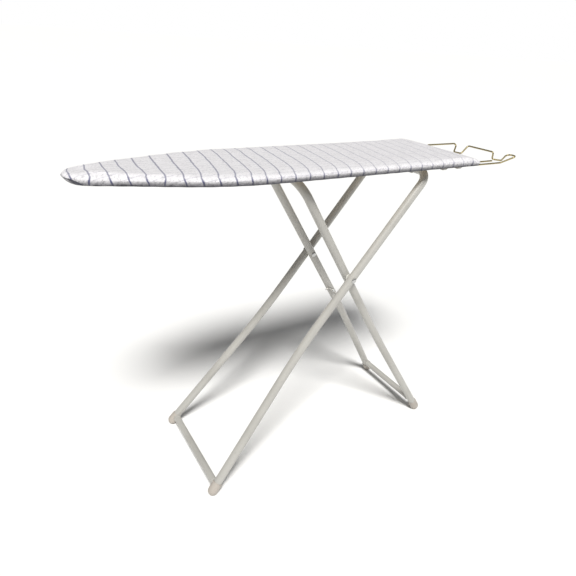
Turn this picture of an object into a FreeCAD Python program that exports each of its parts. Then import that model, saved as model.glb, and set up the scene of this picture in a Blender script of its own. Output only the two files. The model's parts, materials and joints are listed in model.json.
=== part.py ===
import FreeCAD, Part
import math
import os
import Sketcher

# Folding ironing board. Millimetres, +Z up, floor at z = 0.
# Nose at -X, square end and iron rest at +X.

V = FreeCAD.Vector
SIZES = {
    "nose_x": -661.5,
    "end_x": 463.0,
    "half_width": 156.0,
    "nose_radius": 50.0,
    "taper_angle": 20.3,
    "shoulder_radius": 637.0,
    "corner_radius": 30.0,
    "underside_z": 883.0,
    "deck_thick": 10.0,
    "deck_inset": 8.0,
    "pad_thick": 9.0,
    "cover_thick": 1.2,
    "cover_slack": 0.3,
    "hem_thick": 1.2,
    "hem_width": 17.0,
    "edge_round": 7.0,
    "chin_rise": 12.5,
    "chin_reach": 13.0,
    "tail_fall": 8.9,
    "tail_reach": 48.0,
    "tube_dia": 24.0,
    "tube_wall": 1.3,
    "outer_bend": 38.0,
    "inner_bend": 52.0,
    "bar_z": 861.5,
    "pivot_x": 58.6,
    "pivot_z": 572.4,
    "outer_angle": 51.2,
    "inner_angle": 58.1,
    "outer_half": 118.0,
    "inner_half": 92.0,
    "outer_splay": 6.2,
    "inner_splay": 6.6,
    "outer_bow": 2070.0,
    "inner_bow": 1500.0,
    "outer_bow_top": -134.0,
    "inner_bow_top": -192.0,
    "cap_radius": 14.4,
    "cap_length": 25.0,
    "cap_fit": 0.05,
    "cap_floor": 5.0,
    "cross_dia": 20.5,
    "outer_cross_z": 27.0,
    "inner_cross_z": 44.5,
    "weld_gap": 0.3,
    "cope_reach": 60.0,
    "rivet_dia": 8.0,
    "rivet_fit": 0.05,
    "rivet_head": 7.5,
    "rivet_head_thick": 2.6,
    "rivet_head_gap": 0.3,
    "washer_radius": 10.0,
    "washer_gap": 0.2,
    "bearing_fit": 0.05,
    "saddle_y": 44.0,
    "saddle_width": 14.0,
    "saddle_wall": 3.0,
    "flange_thick": 3.0,
    "flange_half": 30.0,
    "saddle_screw_x": 22.0,
    "rack_y": 18.0,
    "rack_thick": 2.0,
    "rack_drop": 42.0,
    "rack_length": 118.0,
    "rack_lip_rise": 6.0,
    "rack_flange": 14.0,
    "rack_play": 2.0,
    "rack_rise": 5.2,
    "slide_reach": 298.2,
    "notch_depth": 2.5,
    "notch_pitch": 30.0,
    "rack_lead": 26.0,
    "rack_chamfer": 14.0,
    "rack_screw_inset": 12.0,
    "rack_screw_y": 8.0,
    "spacer_lead": 19.5,
    "spacer_drop": 12.0,
    "spacer_dia": 7.0,
    "screw_shank": 4.0,
    "screw_head": 8.0,
    "screw_head_thick": 2.4,
    "screw_bite": 8.0,
    "wire_dia": 5.0,
    "wire_bend": 6.5,
    "rest_low_z": 867.0,
    "rest_high_z": 890.0,
    "rest_side_y": 97.0,
    "rest_rail_y": 50.0,
    "rest_start_x": 350.0,
    "rest_near_x": 634.0,
    "rest_far_x": 597.0,
    "rest_fit": 0.1,
    "bracket_inner_x": 368.0,
    "bracket_outer_x": 428.0,
    "bracket_waist": 21.0,
    "bracket_long": 214.0,
    "bracket_wide": 14.0,
    "bracket_deep": 26.0,
    "hook_along": -167.0,
    "hook_wire": 4.0,
    "hook_pin": 4.0,
    "hook_eye": 6.0,
    "hook_gap": 1.0,
}

doc = FreeCAD.newDocument("ironing_board")
sheet = doc.addObject("Spreadsheet::Sheet", "sizes")
for row, (alias, value) in enumerate(SIZES.items(), start=1):
    sheet.set("A%d" % row, alias)
    sheet.set("B%d" % row, str(value))
    sheet.setAlias("B%d" % row, alias)
doc.recompute()

NODES = {}
NOTCH_COUNT = 4
DOME_STEPS = 8


def size(alias):
    return float(sheet.get(alias))


def bind(obj, prop, text):
    obj.setExpression(prop, text)


def node(obj, name):
    obj.Label = name
    NODES[name] = obj
    return obj


def new_body(name):
    return doc.addObject("PartDesign::Body", name)


def plane_of(body, role):
    for item in body.Origin.OriginFeatures:
        if item.Role == role:
            return item
    raise ValueError(role)


def new_sketch(body, role, offset=None):
    sketch = body.newObject("Sketcher::SketchObject", body.Name + "_sketch")
    sketch.AttachmentSupport = [(plane_of(body, role), "")]
    sketch.MapMode = "FlatFace"
    if offset is not None:
        sketch.AttachmentOffset = offset
    return sketch


def draw_loop(sketch, points):
    """Closed outline of straight lines through the points."""
    for first, second in zip(points, points[1:] + points[:1]):
        sketch.addGeometry(Part.LineSegment(V(*first, 0), V(*second, 0)), False)


def draw_circle(sketch, x, y, formula):
    index = sketch.addGeometry(Part.Circle(V(x, y, 0), V(0, 0, 1), 1.0), False)
    rule = sketch.addConstraint(Sketcher.Constraint("Diameter", index, 2.0))
    bind(sketch, "Constraints[%d]" % rule, formula)
    return index


def pad(body, sketch, formula, midplane=False):
    feature = body.newObject("PartDesign::Pad", body.Name + "_pad")
    feature.Profile = sketch
    feature.Midplane = midplane
    bind(feature, "Length", formula)
    return feature


def cut_through(body, sketch):
    feature = body.newObject("PartDesign::Pocket", body.Name + "_pocket")
    feature.Profile = sketch
    feature.Type = 1
    feature.Midplane = True
    return feature


def turned(name, points):
    """Body turned about its own Z axis from a half profile of (radius, height) points."""
    body = new_body(name)
    sketch = new_sketch(body, "XZ_Plane")
    draw_loop(sketch, points)
    turn = body.newObject("PartDesign::Revolution", name + "_turn")
    turn.Profile = sketch
    turn.ReferenceAxis = (sketch, ["V_Axis"])
    turn.Angle = 360.0
    return body


# ---- the frame plane positions --------------------------------------------------------------

def frame_place(angle_alias, side):
    """Placement whose origin is the crossing pivot and whose Z axis runs up the leg."""
    tilt = side * (90.0 - size(angle_alias))
    return FreeCAD.Placement(
        V(size("pivot_x"), 0, size("pivot_z")), FreeCAD.Rotation(V(0, 1, 0), tilt)
    )


def along_leg(angle_alias, height):
    """Distance up the leg from the pivot at which its axis is at this height."""
    return (height - size("pivot_z")) / math.sin(math.radians(size(angle_alias)))


FRAMES = {
    "outer": ("outer_angle", 1.0),
    "inner": ("inner_angle", -1.0),
}


def leg_half(kind, v):
    """Half the spacing of the two leg axes at distance v up the leg."""
    bow = size(kind + "_bow")
    splay = math.radians(size(kind + "_splay"))
    top = size(kind + "_bow_top")
    if v >= top:
        return size(kind + "_half")
    drop = top - v
    if drop <= bow * math.sin(splay):
        return size(kind + "_half") + bow - math.sqrt(bow * bow - drop * drop)
    arc_out = bow * (1.0 - math.cos(splay))
    rest = drop - bow * math.sin(splay)
    return size(kind + "_half") + arc_out + rest * math.tan(splay)


def leg_foot_v(kind):
    return along_leg(FRAMES[kind][0], size("cap_radius"))


def leg_tube_end_v(kind):
    return leg_foot_v(kind) + size("cap_floor")


def bow_arc(side, kind):
    """Shallow arc that turns the leg outward below the pivot."""
    bow = size(kind + "_bow")
    splay = math.radians(size(kind + "_splay"))
    centre = V(side * (size(kind + "_half") + bow), size(kind + "_bow_top"), 0)
    circle = Part.Circle(centre, V(0, 0, 1), bow)
    if side < 0:
        return Part.ArcOfCircle(circle, -splay, 0.0)
    return Part.ArcOfCircle(circle, math.pi, math.pi + splay)


def top_arc(side, kind, top_v):
    """Bend from the leg into the horizontal top bar."""
    bend = size(kind + "_bend")
    centre = V(side * (size(kind + "_half") - bend), top_v - bend, 0)
    circle = Part.Circle(centre, V(0, 0, 1), bend)
    if side < 0:
        return Part.ArcOfCircle(circle, math.pi / 2, math.pi)
    return Part.ArcOfCircle(circle, 0.0, math.pi / 2)


def frame_path(sketch, kind, top_v):
    """One continuous centre line: foot, splay, leg, top bar, leg, splay, foot."""
    half = size(kind + "_half")
    bow_top = size(kind + "_bow_top")
    splay = math.radians(size(kind + "_splay"))
    bow_low = bow_top - size(kind + "_bow") * math.sin(splay)
    end_v = leg_tube_end_v(kind)
    bend = size(kind + "_bend")
    low = leg_half(kind, bow_low)
    foot = leg_half(kind, end_v)
    parts = [
        Part.LineSegment(V(-foot, end_v, 0), V(-low, bow_low, 0)),
        bow_arc(-1.0, kind),
        Part.LineSegment(V(-half, bow_top, 0), V(-half, top_v - bend, 0)),
        top_arc(-1.0, kind, top_v),
        Part.LineSegment(V(-half + bend, top_v, 0), V(half - bend, top_v, 0)),
        top_arc(1.0, kind, top_v),
        Part.LineSegment(V(half, top_v - bend, 0), V(half, bow_top, 0)),
        bow_arc(1.0, kind),
        Part.LineSegment(V(low, bow_low, 0), V(foot, end_v, 0)),
    ]
    for part in parts:
        sketch.addGeometry(part, False)


def leg_frame(kind):
    """U-shaped tube: two legs and the top bar in one bent piece."""
    angle_alias, side = FRAMES[kind]
    body = new_body(kind + "_tube")
    path = new_sketch(body, "YZ_Plane")
    frame_path(path, kind, along_leg(angle_alias, size("bar_z")))
    end_v = leg_tube_end_v(kind)
    start = FreeCAD.Placement(
        V(0, -leg_half(kind, end_v), end_v),
        FreeCAD.Rotation(V(1, 0, 0), -size(kind + "_splay")),
    )
    ring = new_sketch(body, "XY_Plane", start)
    draw_circle(ring, 0, 0, "sizes.tube_dia")
    draw_circle(ring, 0, 0, "sizes.tube_dia - 2 * sizes.tube_wall")
    pipe = body.newObject("PartDesign::AdditivePipe", body.Name + "_pipe")
    pipe.Profile = ring
    pipe.Spine = path
    hole = new_sketch(body, "XZ_Plane")
    draw_circle(hole, 0, 0, "sizes.rivet_dia + 2 * sizes.rivet_fit")
    cut_through(body, hole)
    body.Placement = frame_place(angle_alias, side)
    return body


def cross_rod(name, kind, formula):
    """Cylinder on the axis of a frame's cross bar, from leg axis to leg axis."""
    angle_alias, side = FRAMES[kind]
    v = along_leg(angle_alias, size(kind + "_cross_z"))
    half = leg_half(kind, v)
    rod = doc.addObject("Part::Cylinder", name)
    bind(rod, "Radius", formula)
    rod.Height = 2 * half
    local = FreeCAD.Placement(V(0, -half, v), FreeCAD.Rotation(V(1, 0, 0), -90))
    rod.Placement = frame_place(angle_alias, side).multiply(local)
    return rod


def foot_cap(kind, side_y):
    """Closed plastic cap pushed over the end of a leg, slotted where the cross bar joins."""
    radius = size("cap_radius")
    bore = size("tube_dia") / 2 + size("cap_fit")
    length = size("cap_length")
    floor = size("cap_floor")
    points = [(0.0, -radius)]
    for step in range(1, DOME_STEPS + 1):
        turn = math.pi / 2 * step / DOME_STEPS
        points.append((radius * math.sin(turn), -radius * math.cos(turn)))
    points += [(radius, length - 1.0), (radius - 0.7, length), (bore, length)]
    points += [(bore, floor), (0.0, floor)]
    name = "%s_foot_%s" % (kind, "far" if side_y > 0 else "near")
    cap = turned(name + "_body", points)
    angle_alias, side = FRAMES[kind]
    v = leg_foot_v(kind)
    lean = FreeCAD.Rotation(V(1, 0, 0), side_y * size(kind + "_splay"))
    local = FreeCAD.Placement(V(0, side_y * leg_half(kind, v), v), lean)
    cap.Placement = frame_place(angle_alias, side).multiply(local)
    slot = cross_rod(name + "_slot", kind, "sizes.cross_dia / 2 + sizes.weld_gap")
    slotted = doc.addObject("Part::Cut", name + "_slotted")
    slotted.Base = cap
    slotted.Tool = slot
    return node(slotted, name)


def cross_bar(kind):
    """Straight tube between the two legs, coped round them."""
    angle_alias, side = FRAMES[kind]
    v = along_leg(angle_alias, size(kind + "_cross_z"))
    frame = frame_place(angle_alias, side)
    rod = cross_rod(kind + "_rod", kind, "sizes.cross_dia / 2")
    tools = [cross_rod(kind + "_bore", kind, "sizes.cross_dia / 2 - sizes.tube_wall")]
    reach = size("cope_reach")
    for side_y in (-1.0, 1.0):
        tool = doc.addObject("Part::Cylinder", kind + "_cope")
        bind(tool, "Radius", "sizes.tube_dia / 2 + sizes.weld_gap")
        bind(tool, "Height", "2 * sizes.cope_reach")
        lean = FreeCAD.Rotation(V(1, 0, 0), side_y * size(kind + "_splay"))
        spot = FreeCAD.Placement(V(0, side_y * leg_half(kind, v), v), lean)
        drop = FreeCAD.Placement(V(0, 0, -reach), FreeCAD.Rotation())
        tool.Placement = frame.multiply(spot).multiply(drop)
        tools.append(tool)
    cutters = doc.addObject("Part::MultiFuse", kind + "_copes")
    cutters.Shapes = tools
    bar = doc.addObject("Part::Cut", kind + "_bar")
    bar.Base = rod
    bar.Tool = cutters
    return node(bar, kind + "_cross_bar")


def pivot_rivet(side_y):
    """Rivet through the outer and the inner leg at the crossing."""
    radius = size("rivet_dia") / 2
    head = size("rivet_head")
    thick = size("rivet_head_thick")
    gap = size("rivet_head_gap")
    tube = size("tube_dia") / 2
    inside = size("inner_half") - tube - gap
    outside = size("outer_half") + tube + gap
    points = [
        (0.0, inside - thick),
        (head - 2.5, inside - thick),
        (head, inside - 0.8),
        (head, inside),
        (radius, inside),
        (radius, outside),
        (head, outside),
        (head, outside + 0.8),
        (head - 2.5, outside + thick),
        (0.0, outside + thick),
    ]
    name = "pivot_rivet_" + ("far" if side_y > 0 else "near")
    rivet = turned(name + "_body", points)
    turn = FreeCAD.Rotation(V(1, 0, 0), -90.0 * side_y)
    rivet.Placement = FreeCAD.Placement(V(size("pivot_x"), 0, size("pivot_z")), turn)
    return node(rivet, name)


def pivot_washer(side_y):
    """Thin plastic washer that fills the gap between the two legs."""
    bore = size("rivet_dia") / 2 + size("rivet_fit")
    tube = size("tube_dia") / 2
    rim = size("washer_radius")
    low = size("inner_half") + tube + size("washer_gap")
    high = size("outer_half") - tube - size("washer_gap")
    points = [(bore, low), (rim, low), (rim, high), (bore, high)]
    name = "pivot_washer_" + ("far" if side_y > 0 else "near")
    washer = turned(name + "_body", points)
    turn = FreeCAD.Rotation(V(1, 0, 0), -90.0 * side_y)
    washer.Placement = FreeCAD.Placement(V(size("pivot_x"), 0, size("pivot_z")), turn)
    return node(washer, name)


# ---- board ----------------------------------------------------------------------------------

def outline_edges(inset):
    """Closed board outline, moved inward by inset: blunt nose, straight taper, parallel sides."""
    taper = math.radians(size("taper_angle"))
    nose = size("nose_radius") - inset
    nose_centre = size("nose_x") + size("nose_radius")
    half = size("half_width") - inset
    shoulder = size("shoulder_radius") - inset
    corner = size("corner_radius") - inset
    end = size("end_x") - inset
    tip = V(nose_centre - nose, 0, 0)
    tangent = V(nose_centre - nose * math.sin(taper), nose * math.cos(taper), 0)
    low_y = half - shoulder * (1.0 - math.cos(taper))
    run = (low_y - tangent.y) / math.tan(taper)
    low = V(tangent.x + run, low_y, 0)
    high = V(low.x + shoulder * math.sin(taper), half, 0)
    middle = V(
        high.x - shoulder * math.sin(taper / 2), half - shoulder * (1 - math.cos(taper / 2)), 0
    )
    turn = V(end - corner, half, 0)
    bend = V(end - corner + corner * math.sqrt(0.5), half - corner + corner * math.sqrt(0.5), 0)
    last = V(end, half - corner, 0)

    def flip(point):
        return V(point.x, -point.y, 0)

    return [
        Part.Arc(flip(tangent), tip, tangent),
        Part.LineSegment(tangent, low),
        Part.Arc(low, middle, high),
        Part.LineSegment(high, turn),
        Part.Arc(turn, bend, last),
        Part.LineSegment(last, flip(last)),
        Part.Arc(flip(last), flip(bend), flip(turn)),
        Part.LineSegment(flip(turn), flip(high)),
        Part.Arc(flip(high), flip(middle), flip(low)),
        Part.LineSegment(flip(low), flip(tangent)),
    ]


def board_slab(name, inset, height, base_z, rounding=None):
    """Flat slab of the board outline, with its upper edge rounded when asked."""
    body = new_body(name)
    sketch = new_sketch(body, "XY_Plane")
    for edge in outline_edges(inset):
        sketch.addGeometry(edge, False)
    block = pad(body, sketch, height)
    doc.recompute()
    if rounding is not None:
        top = block.Shape.BoundBox.ZMax
        names = []
        for index, edge in enumerate(block.Shape.Edges, start=1):
            if edge.BoundBox.ZMin > top - 0.01:
                names.append("Edge%d" % index)
        fillet = body.newObject("PartDesign::Fillet", name + "_fillet")
        fillet.Base = (block, names)
        bind(fillet, "Radius", rounding)
    body.Placement = FreeCAD.Placement(V(0, 0, base_z), FreeCAD.Rotation())
    return body


def side_cutter(name, points):
    """Block across the whole board from its side view."""
    body = new_body(name)
    sketch = new_sketch(body, "XZ_Plane")
    draw_loop(sketch, points)
    pad(body, sketch, "2 * sizes.half_width + 20", True)
    return body


def shifted(first, second, depth):
    """Line from first to second, moved into the board by depth."""
    run = math.hypot(second[0] - first[0], second[1] - first[1])
    ahead = ((second[0] - first[0]) / run, (second[1] - first[1]) / run)
    side = (-ahead[1], ahead[0])
    start = (first[0] + side[0] * depth, first[1] + side[1] * depth)
    stop = (second[0] + side[0] * depth, second[1] + side[1] * depth)
    return ahead, start, stop


def chin_cutter(name, depth):
    """Bevel under the nose, depth inside the cover's own."""
    low = size("underside_z") - size("hem_thick")
    nose = size("nose_x")
    top = (nose, low + size("chin_rise"))
    base = (nose + size("chin_reach"), low)
    ahead, start, stop = shifted(top, base, depth)
    spare = 20.0
    upper = (start[0] - ahead[0] * spare, start[1] - ahead[1] * spare)
    lower = (stop[0] + ahead[0] * spare, stop[1] + ahead[1] * spare)
    left = nose - 2 * spare
    return side_cutter(name, [upper, lower, (left, lower[1]), (left, upper[1])])


def tail_cutter(name, depth):
    """Slope of the top at the square end, depth inside the cover's own."""
    top = size("underside_z") + size("deck_thick") + size("pad_thick") + size("cover_thick")
    end = size("end_x")
    edge = (end, top - size("tail_fall"))
    start = (end - size("tail_reach"), top)
    ahead, lower, upper = shifted(edge, start, depth)
    spare = 20.0
    right = (lower[0] - ahead[0] * spare, lower[1] - ahead[1] * spare)
    left = (upper[0] + ahead[0] * spare, upper[1] + ahead[1] * spare)
    high = top + spare
    return side_cutter(name, [left, right, (right[0], high), (left[0], high)])


def cut_by(base, name, tools):
    """Base with the tools taken away."""
    group = tools[0]
    if len(tools) > 1:
        group = doc.addObject("Part::MultiFuse", name + "_tools")
        group.Shapes = tools
    cut = doc.addObject("Part::Cut", name + "_cut")
    cut.Base = base
    cut.Tool = group
    return cut


def board_cover():
    """Cloth cover: top skin, wrapped side and a hem turned under the deck."""
    inner = size("cover_thick")
    hem = size("hem_thick")
    low = size("underside_z") - hem
    outer = board_slab(
        "cover_skin",
        0.0,
        "sizes.hem_thick + sizes.deck_thick + sizes.pad_thick + sizes.cover_thick",
        low,
        "sizes.edge_round + sizes.cover_thick",
    )
    cavity = board_slab(
        "cover_cavity",
        inner,
        "sizes.deck_thick + sizes.pad_thick",
        size("underside_z"),
        "sizes.edge_round",
    )
    mouth = board_slab(
        "cover_mouth",
        inner + size("hem_width"),
        "2 * sizes.hem_thick",
        low - hem / 2,
    )
    skin = cut_by(outer, "skin", [chin_cutter("skin_chin", 0.0), tail_cutter("skin_tail", 0.0)])
    hollow = cut_by(cavity, "hollow", [chin_cutter("hollow_chin", inner),
                                       tail_cutter("hollow_tail", inner)])
    return node(cut_by(skin, "cover", [hollow, mouth]), "board_cover")


def hinge_x():
    rise = size("bar_z") - size("pivot_z")
    return size("pivot_x") + rise / math.tan(math.radians(size("outer_angle")))


def slide_x():
    rise = size("bar_z") - size("pivot_z")
    return size("pivot_x") - rise / math.tan(math.radians(size("inner_angle")))


def slide_ends():
    """X of the sliding bar at rest and when folded flat."""
    return slide_x(), slide_x() - size("slide_reach")


def rack_span():
    """Left, open end and right, closed end of the rack plates."""
    return slide_x() - size("rack_length"), slide_x() + size("rack_lead")


def rack_screw_places():
    """X of the three screws in each rack flange."""
    left, right = rack_span()
    inset = size("rack_screw_inset")
    return left + inset, (left + right) / 2, right - inset


def screw_spots():
    """Every screw in the underside: (x, y, gripped thickness)."""
    spots = []
    thick = size("flange_thick")
    flange_y = size("rack_y") + size("rack_screw_y")
    for side_y in (-1.0, 1.0):
        for side_x in (-1.0, 1.0):
            x = hinge_x() + side_x * size("saddle_screw_x")
            spots.append((x, side_y * size("saddle_y"), thick))
        for x in rack_screw_places():
            spots.append((x, side_y * flange_y, size("rack_thick")))
    return spots


def board_deck():
    """Stiff panel with pilot holes for the screws."""
    inset = size("deck_inset")
    deck = board_slab("deck", inset, "sizes.deck_thick", size("underside_z"))
    holes = new_sketch(deck, "XY_Plane")
    for x, y, thick in screw_spots():
        draw_circle(holes, x, y, "sizes.screw_shank + 0.1")
    pocket = deck.newObject("PartDesign::Pocket", "deck_holes")
    pocket.Profile = holes
    pocket.Reversed = True
    bind(pocket, "Length", "sizes.screw_bite + 0.5")
    return node(cut_by(deck, "deck", [chin_cutter("deck_chin", inset)]), "board_deck")


def foam_pad():
    inset = size("cover_thick") + size("cover_slack")
    base = size("underside_z") + size("deck_thick")
    foam = board_slab(
        "foam", inset, "sizes.pad_thick - 0.3", base, "sizes.edge_round"
    )
    return node(cut_by(foam, "foam", [chin_cutter("foam_chin", inset),
                                      tail_cutter("foam_tail", inset)]), "foam_pad")


def underside_screws():
    """Pan-head screws of saddles and rack, all alike, as one set."""
    screws = []
    shank = size("screw_shank") / 2
    head = size("screw_head") / 2
    thick = size("screw_head_thick")
    for x, y, gripped in screw_spots():
        points = [
            (0.0, -thick),
            (head - 1.0, -thick),
            (head, -thick + 1.0),
            (head, 0.0),
            (shank, 0.0),
            (shank, gripped + size("screw_bite") - 1.5),
            (0.0, gripped + size("screw_bite")),
        ]
        screw = turned("screw", points)
        spot = V(x, y, size("underside_z") - gripped)
        screw.Placement = FreeCAD.Placement(spot, FreeCAD.Rotation())
        screws.append(screw)
    group = doc.addObject("Part::Compound", "screw_set")
    group.Links = screws
    return node(group, "underside_screws")


# ---- fittings under the board ---------------------------------------------------------------

def hinge_saddle(side_y):
    """Bearing strap that carries the top bar of the outer frame."""
    bore = size("tube_dia") / 2 + size("bearing_fit")
    shell = bore + size("saddle_wall")
    top = size("underside_z") - size("bar_z")
    under = top - size("flange_thick")
    wide = size("flange_half")
    name = "hinge_saddle_" + ("far" if side_y > 0 else "near")
    body = new_body(name + "_body")
    sketch = new_sketch(body, "XZ_Plane")
    chain = [(shell, 0.0), (shell, under), (wide, under), (wide, top)]
    chain += [(-wide, top), (-wide, under), (-shell, under), (-shell, 0.0)]
    for first, second in zip(chain, chain[1:]):
        sketch.addGeometry(Part.LineSegment(V(*first, 0), V(*second, 0)), False)
    lower = Part.Arc(V(-shell, 0, 0), V(0, -shell, 0), V(shell, 0, 0))
    sketch.addGeometry(lower, False)
    draw_circle(sketch, 0, 0, "sizes.tube_dia + 2 * sizes.bearing_fit")
    pad(body, sketch, "sizes.saddle_width", True)
    holes = new_sketch(body, "XY_Plane")
    for side_x in (-1.0, 1.0):
        draw_circle(holes, side_x * size("saddle_screw_x"), 0, "sizes.screw_shank + 0.4")
    cut_through(body, holes)
    spot = V(hinge_x(), side_y * size("saddle_y"), size("bar_z"))
    body.Placement = FreeCAD.Placement(spot, FreeCAD.Rotation())
    return node(body, name)


def slot_arch():
    """Centre, radius and half angle of the arc that the sliding bar's axis follows."""
    first, last = slide_ends()
    rise = size("rack_rise")
    span = (first - last) / 2
    bow = (span * span + rise * rise) / (2 * rise)
    centre = V((first + last) / 2, size("bar_z") + rise - bow, 0)
    return centre, bow, math.asin(span / bow)


def slot_loop(sketch):
    """Arched slot that follows the sliding bar as the frames fold."""
    radius = size("tube_dia") / 2 + size("rack_play")
    centre, bow, swing = slot_arch()

    def rim(offset, turn):
        reach = bow + offset
        return V(centre.x + reach * math.sin(turn), centre.y + reach * math.cos(turn), 0)

    def tip(turn, side):
        across = turn + side * math.pi / 2
        hub = rim(0.0, turn)
        return V(hub.x + radius * math.sin(across), hub.y + radius * math.cos(across), 0)

    edges = [
        Part.Arc(rim(radius, -swing), rim(radius, 0.0), rim(radius, swing)),
        Part.Arc(rim(radius, swing), tip(swing, 1.0), rim(-radius, swing)),
        Part.Arc(rim(-radius, swing), rim(-radius, 0.0), rim(-radius, -swing)),
        Part.Arc(rim(-radius, -swing), tip(-swing, -1.0), rim(radius, -swing)),
    ]
    for edge in edges:
        sketch.addGeometry(edge, False)


def rack_profile():
    """Side view of the plate: closed end at the right, lower edge rising to the open end."""
    left, right = rack_span()
    top = size("underside_z")
    low = top - size("rack_drop")
    cut = size("rack_chamfer")
    lip = low + size("rack_lip_rise")
    return [(left, lip), (right - cut, low), (right, low + cut), (right, top), (left, top)]


def rack_plate(side_y):
    """Forked plate that catches the inner frame's bar, with a screwed flange on top."""
    name = "rack_plate_" + ("far" if side_y > 0 else "near")
    body = new_body(name + "_body")
    face = new_sketch(body, "XZ_Plane")
    draw_loop(face, rack_profile())
    pad(body, face, "sizes.rack_thick", True)
    slot = new_sketch(body, "XZ_Plane")
    slot_loop(slot)
    cut_through(body, slot)
    notches = new_sketch(body, "XZ_Plane")
    first = slide_x()
    centre, bow, swing = slot_arch()
    for step in range(NOTCH_COUNT):
        x = first - size("notch_pitch") * step
        arch = centre.y + math.sqrt(bow * bow - (x - centre.x) ** 2)
        draw_circle(notches, x, arch + size("notch_depth"), "sizes.tube_dia + 0.6")
    cut_through(body, notches)
    flange = new_sketch(body, "XY_Plane", FreeCAD.Placement(
        V(0, 0, size("underside_z") - size("rack_thick")), FreeCAD.Rotation()))
    near = side_y * size("rack_thick") / 2
    far = side_y * size("rack_flange")
    left, right = rack_span()
    draw_loop(flange, [(left, near), (right, near), (right, far), (left, far)])
    pad(body, flange, "sizes.rack_thick")
    holes = new_sketch(body, "XY_Plane")
    for x in rack_screw_places():
        draw_circle(holes, x, side_y * size("rack_screw_y"), "sizes.screw_shank + 0.4")
    cut_through(body, holes)
    body.Placement = FreeCAD.Placement(V(0, side_y * size("rack_y"), 0), FreeCAD.Rotation())
    return node(body, name)


def rack_spacer():
    """Round spacer that ties the rack plates together beyond the closed end of the slot."""
    length = 2 * size("rack_y") - size("rack_thick")
    rod = doc.addObject("Part::Cylinder", "spacer")
    bind(rod, "Radius", "sizes.spacer_dia / 2")
    rod.Height = length
    spot = V(slide_x() + size("spacer_lead"), -length / 2, size("underside_z") - size("spacer_drop"))
    rod.Placement = FreeCAD.Placement(spot, FreeCAD.Rotation(V(1, 0, 0), -90))
    return node(rod, "rack_spacer")


def rail_z():
    """Height of the support wires, which lie just under the bent wire."""
    return size("rest_low_z") - size("wire_dia") - size("rest_fit")


def rest_bracket(name, x):
    """Clip bar screwed under the deck that grips the four wires of the iron rest."""
    long_y = size("bracket_long")
    body = new_body(name + "_body")
    sketch = new_sketch(body, "YZ_Plane")
    deep = size("bracket_deep")
    half = long_y / 2
    side = size("rest_side_y")
    waist = size("bracket_waist")
    step = deep - waist
    right = [(side - 24, -deep), (side - 24 + step, -waist), (half - step, -waist),
             (half, -waist + step), (half, 0.0)]
    left = [(-y, z) for y, z in reversed(right)]
    draw_loop(sketch, right + left)
    low = size("rest_low_z") - size("underside_z")
    rail = rail_z() - size("underside_z")
    for side_y in (-1.0, 1.0):
        draw_circle(sketch, side_y * side, low, "sizes.wire_dia + sizes.rest_fit")
        draw_circle(sketch, side_y * size("rest_rail_y"), rail, "sizes.wire_dia + sizes.rest_fit")
    pad(body, sketch, "sizes.bracket_wide", True)
    spot = V(x, 0, size("underside_z"))
    body.Placement = FreeCAD.Placement(spot, FreeCAD.Rotation())
    return node(body, name)


# ---- wires ----------------------------------------------------------------------------------

def bent_edges(points, bend):
    """Edges of a bent wire: straight runs joined by tangent arcs at the corners."""
    edges = []
    start = points[0]
    for index in range(1, len(points) - 1):
        before = points[index - 1].sub(points[index])
        after = points[index + 1].sub(points[index])
        room = 0.45 * min(before.Length, after.Length)
        before.normalize()
        after.normalize()
        half = before.getAngle(after) / 2
        trim = min(bend / math.tan(half), room)
        radius = trim * math.tan(half)
        enter = points[index].add(before.multiply(trim))
        leave = points[index].add(after.multiply(trim))
        inward = enter.add(leave).multiply(0.5).sub(points[index])
        hub_reach = math.hypot(trim, radius)
        inward.normalize()
        middle = points[index].add(inward.multiply(hub_reach - radius))
        edges.append(Part.LineSegment(start, enter).toShape())
        edges.append(Part.Arc(enter, middle, leave).toShape())
        start = leave
    edges.append(Part.LineSegment(start, points[-1]).toShape())
    return edges


def bent_wire(name, points, bend, formula):
    """Round wire swept along the bent centre line."""
    path = doc.addObject("Part::Feature", name + "_path")
    path.Shape = Part.Wire(bent_edges(points, bend))
    ring = doc.addObject("Part::Circle", name + "_ring")
    bind(ring, "Radius", formula)
    run = points[1].sub(points[0])
    ring.Placement = FreeCAD.Placement(points[0], FreeCAD.Rotation(V(0, 0, 1), run))
    sweep = doc.addObject("Part::Sweep", name + "_sweep")
    sweep.Sections = [ring]
    sweep.Spine = (path, [])
    sweep.Solid = True
    sweep.Frenet = False
    sweep.Transition = "Right corner"
    return node(sweep, name)


def iron_rest_frame():
    """One bent wire: side runs, a far hoop, a middle hump and a near loop."""
    low = size("rest_low_z")
    high = size("rest_high_z")
    side = size("rest_side_y")
    start = size("rest_start_x")
    end = size("end_x")
    points = [
        V(start, side, low),
        V(end + 18, side, low),
        V(end + 22, side, high),
        V(619, side - 3, high),
        V(592, 76, low),
        V(596, 47, low),
        V(627, 51, high),
        V(632, -51, high),
        V(634, -49, low),
        V(650, -73, low),
        V(637, -97, high),
        V(659, -100, high),
        V(650, -123, high),
        V(616, -side, low),
        V(start, -side, low),
    ]
    return bent_wire("iron_rest_frame", points, size("wire_bend"), "sizes.wire_dia / 2")


def rest_rail(side_y, end_x):
    """Straight support wire under the humps."""
    name = "rest_rail_" + ("far" if side_y > 0 else "near")
    rail = doc.addObject("Part::Cylinder", name + "_rod")
    bind(rail, "Radius", "sizes.wire_dia / 2")
    rail.Height = end_x - size("rest_start_x")
    spot = V(size("rest_start_x"), side_y * size("rest_rail_y"), rail_z())
    rail.Placement = FreeCAD.Placement(spot, FreeCAD.Rotation(V(0, 1, 0), 90))
    return node(rail, name)


def hook_origin():
    """Hinge point of the storage hook on the inner side of the far inner leg."""
    return frame_place("inner_angle", -1.0).multVec(V(0, size("inner_half"), size("hook_along")))


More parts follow.
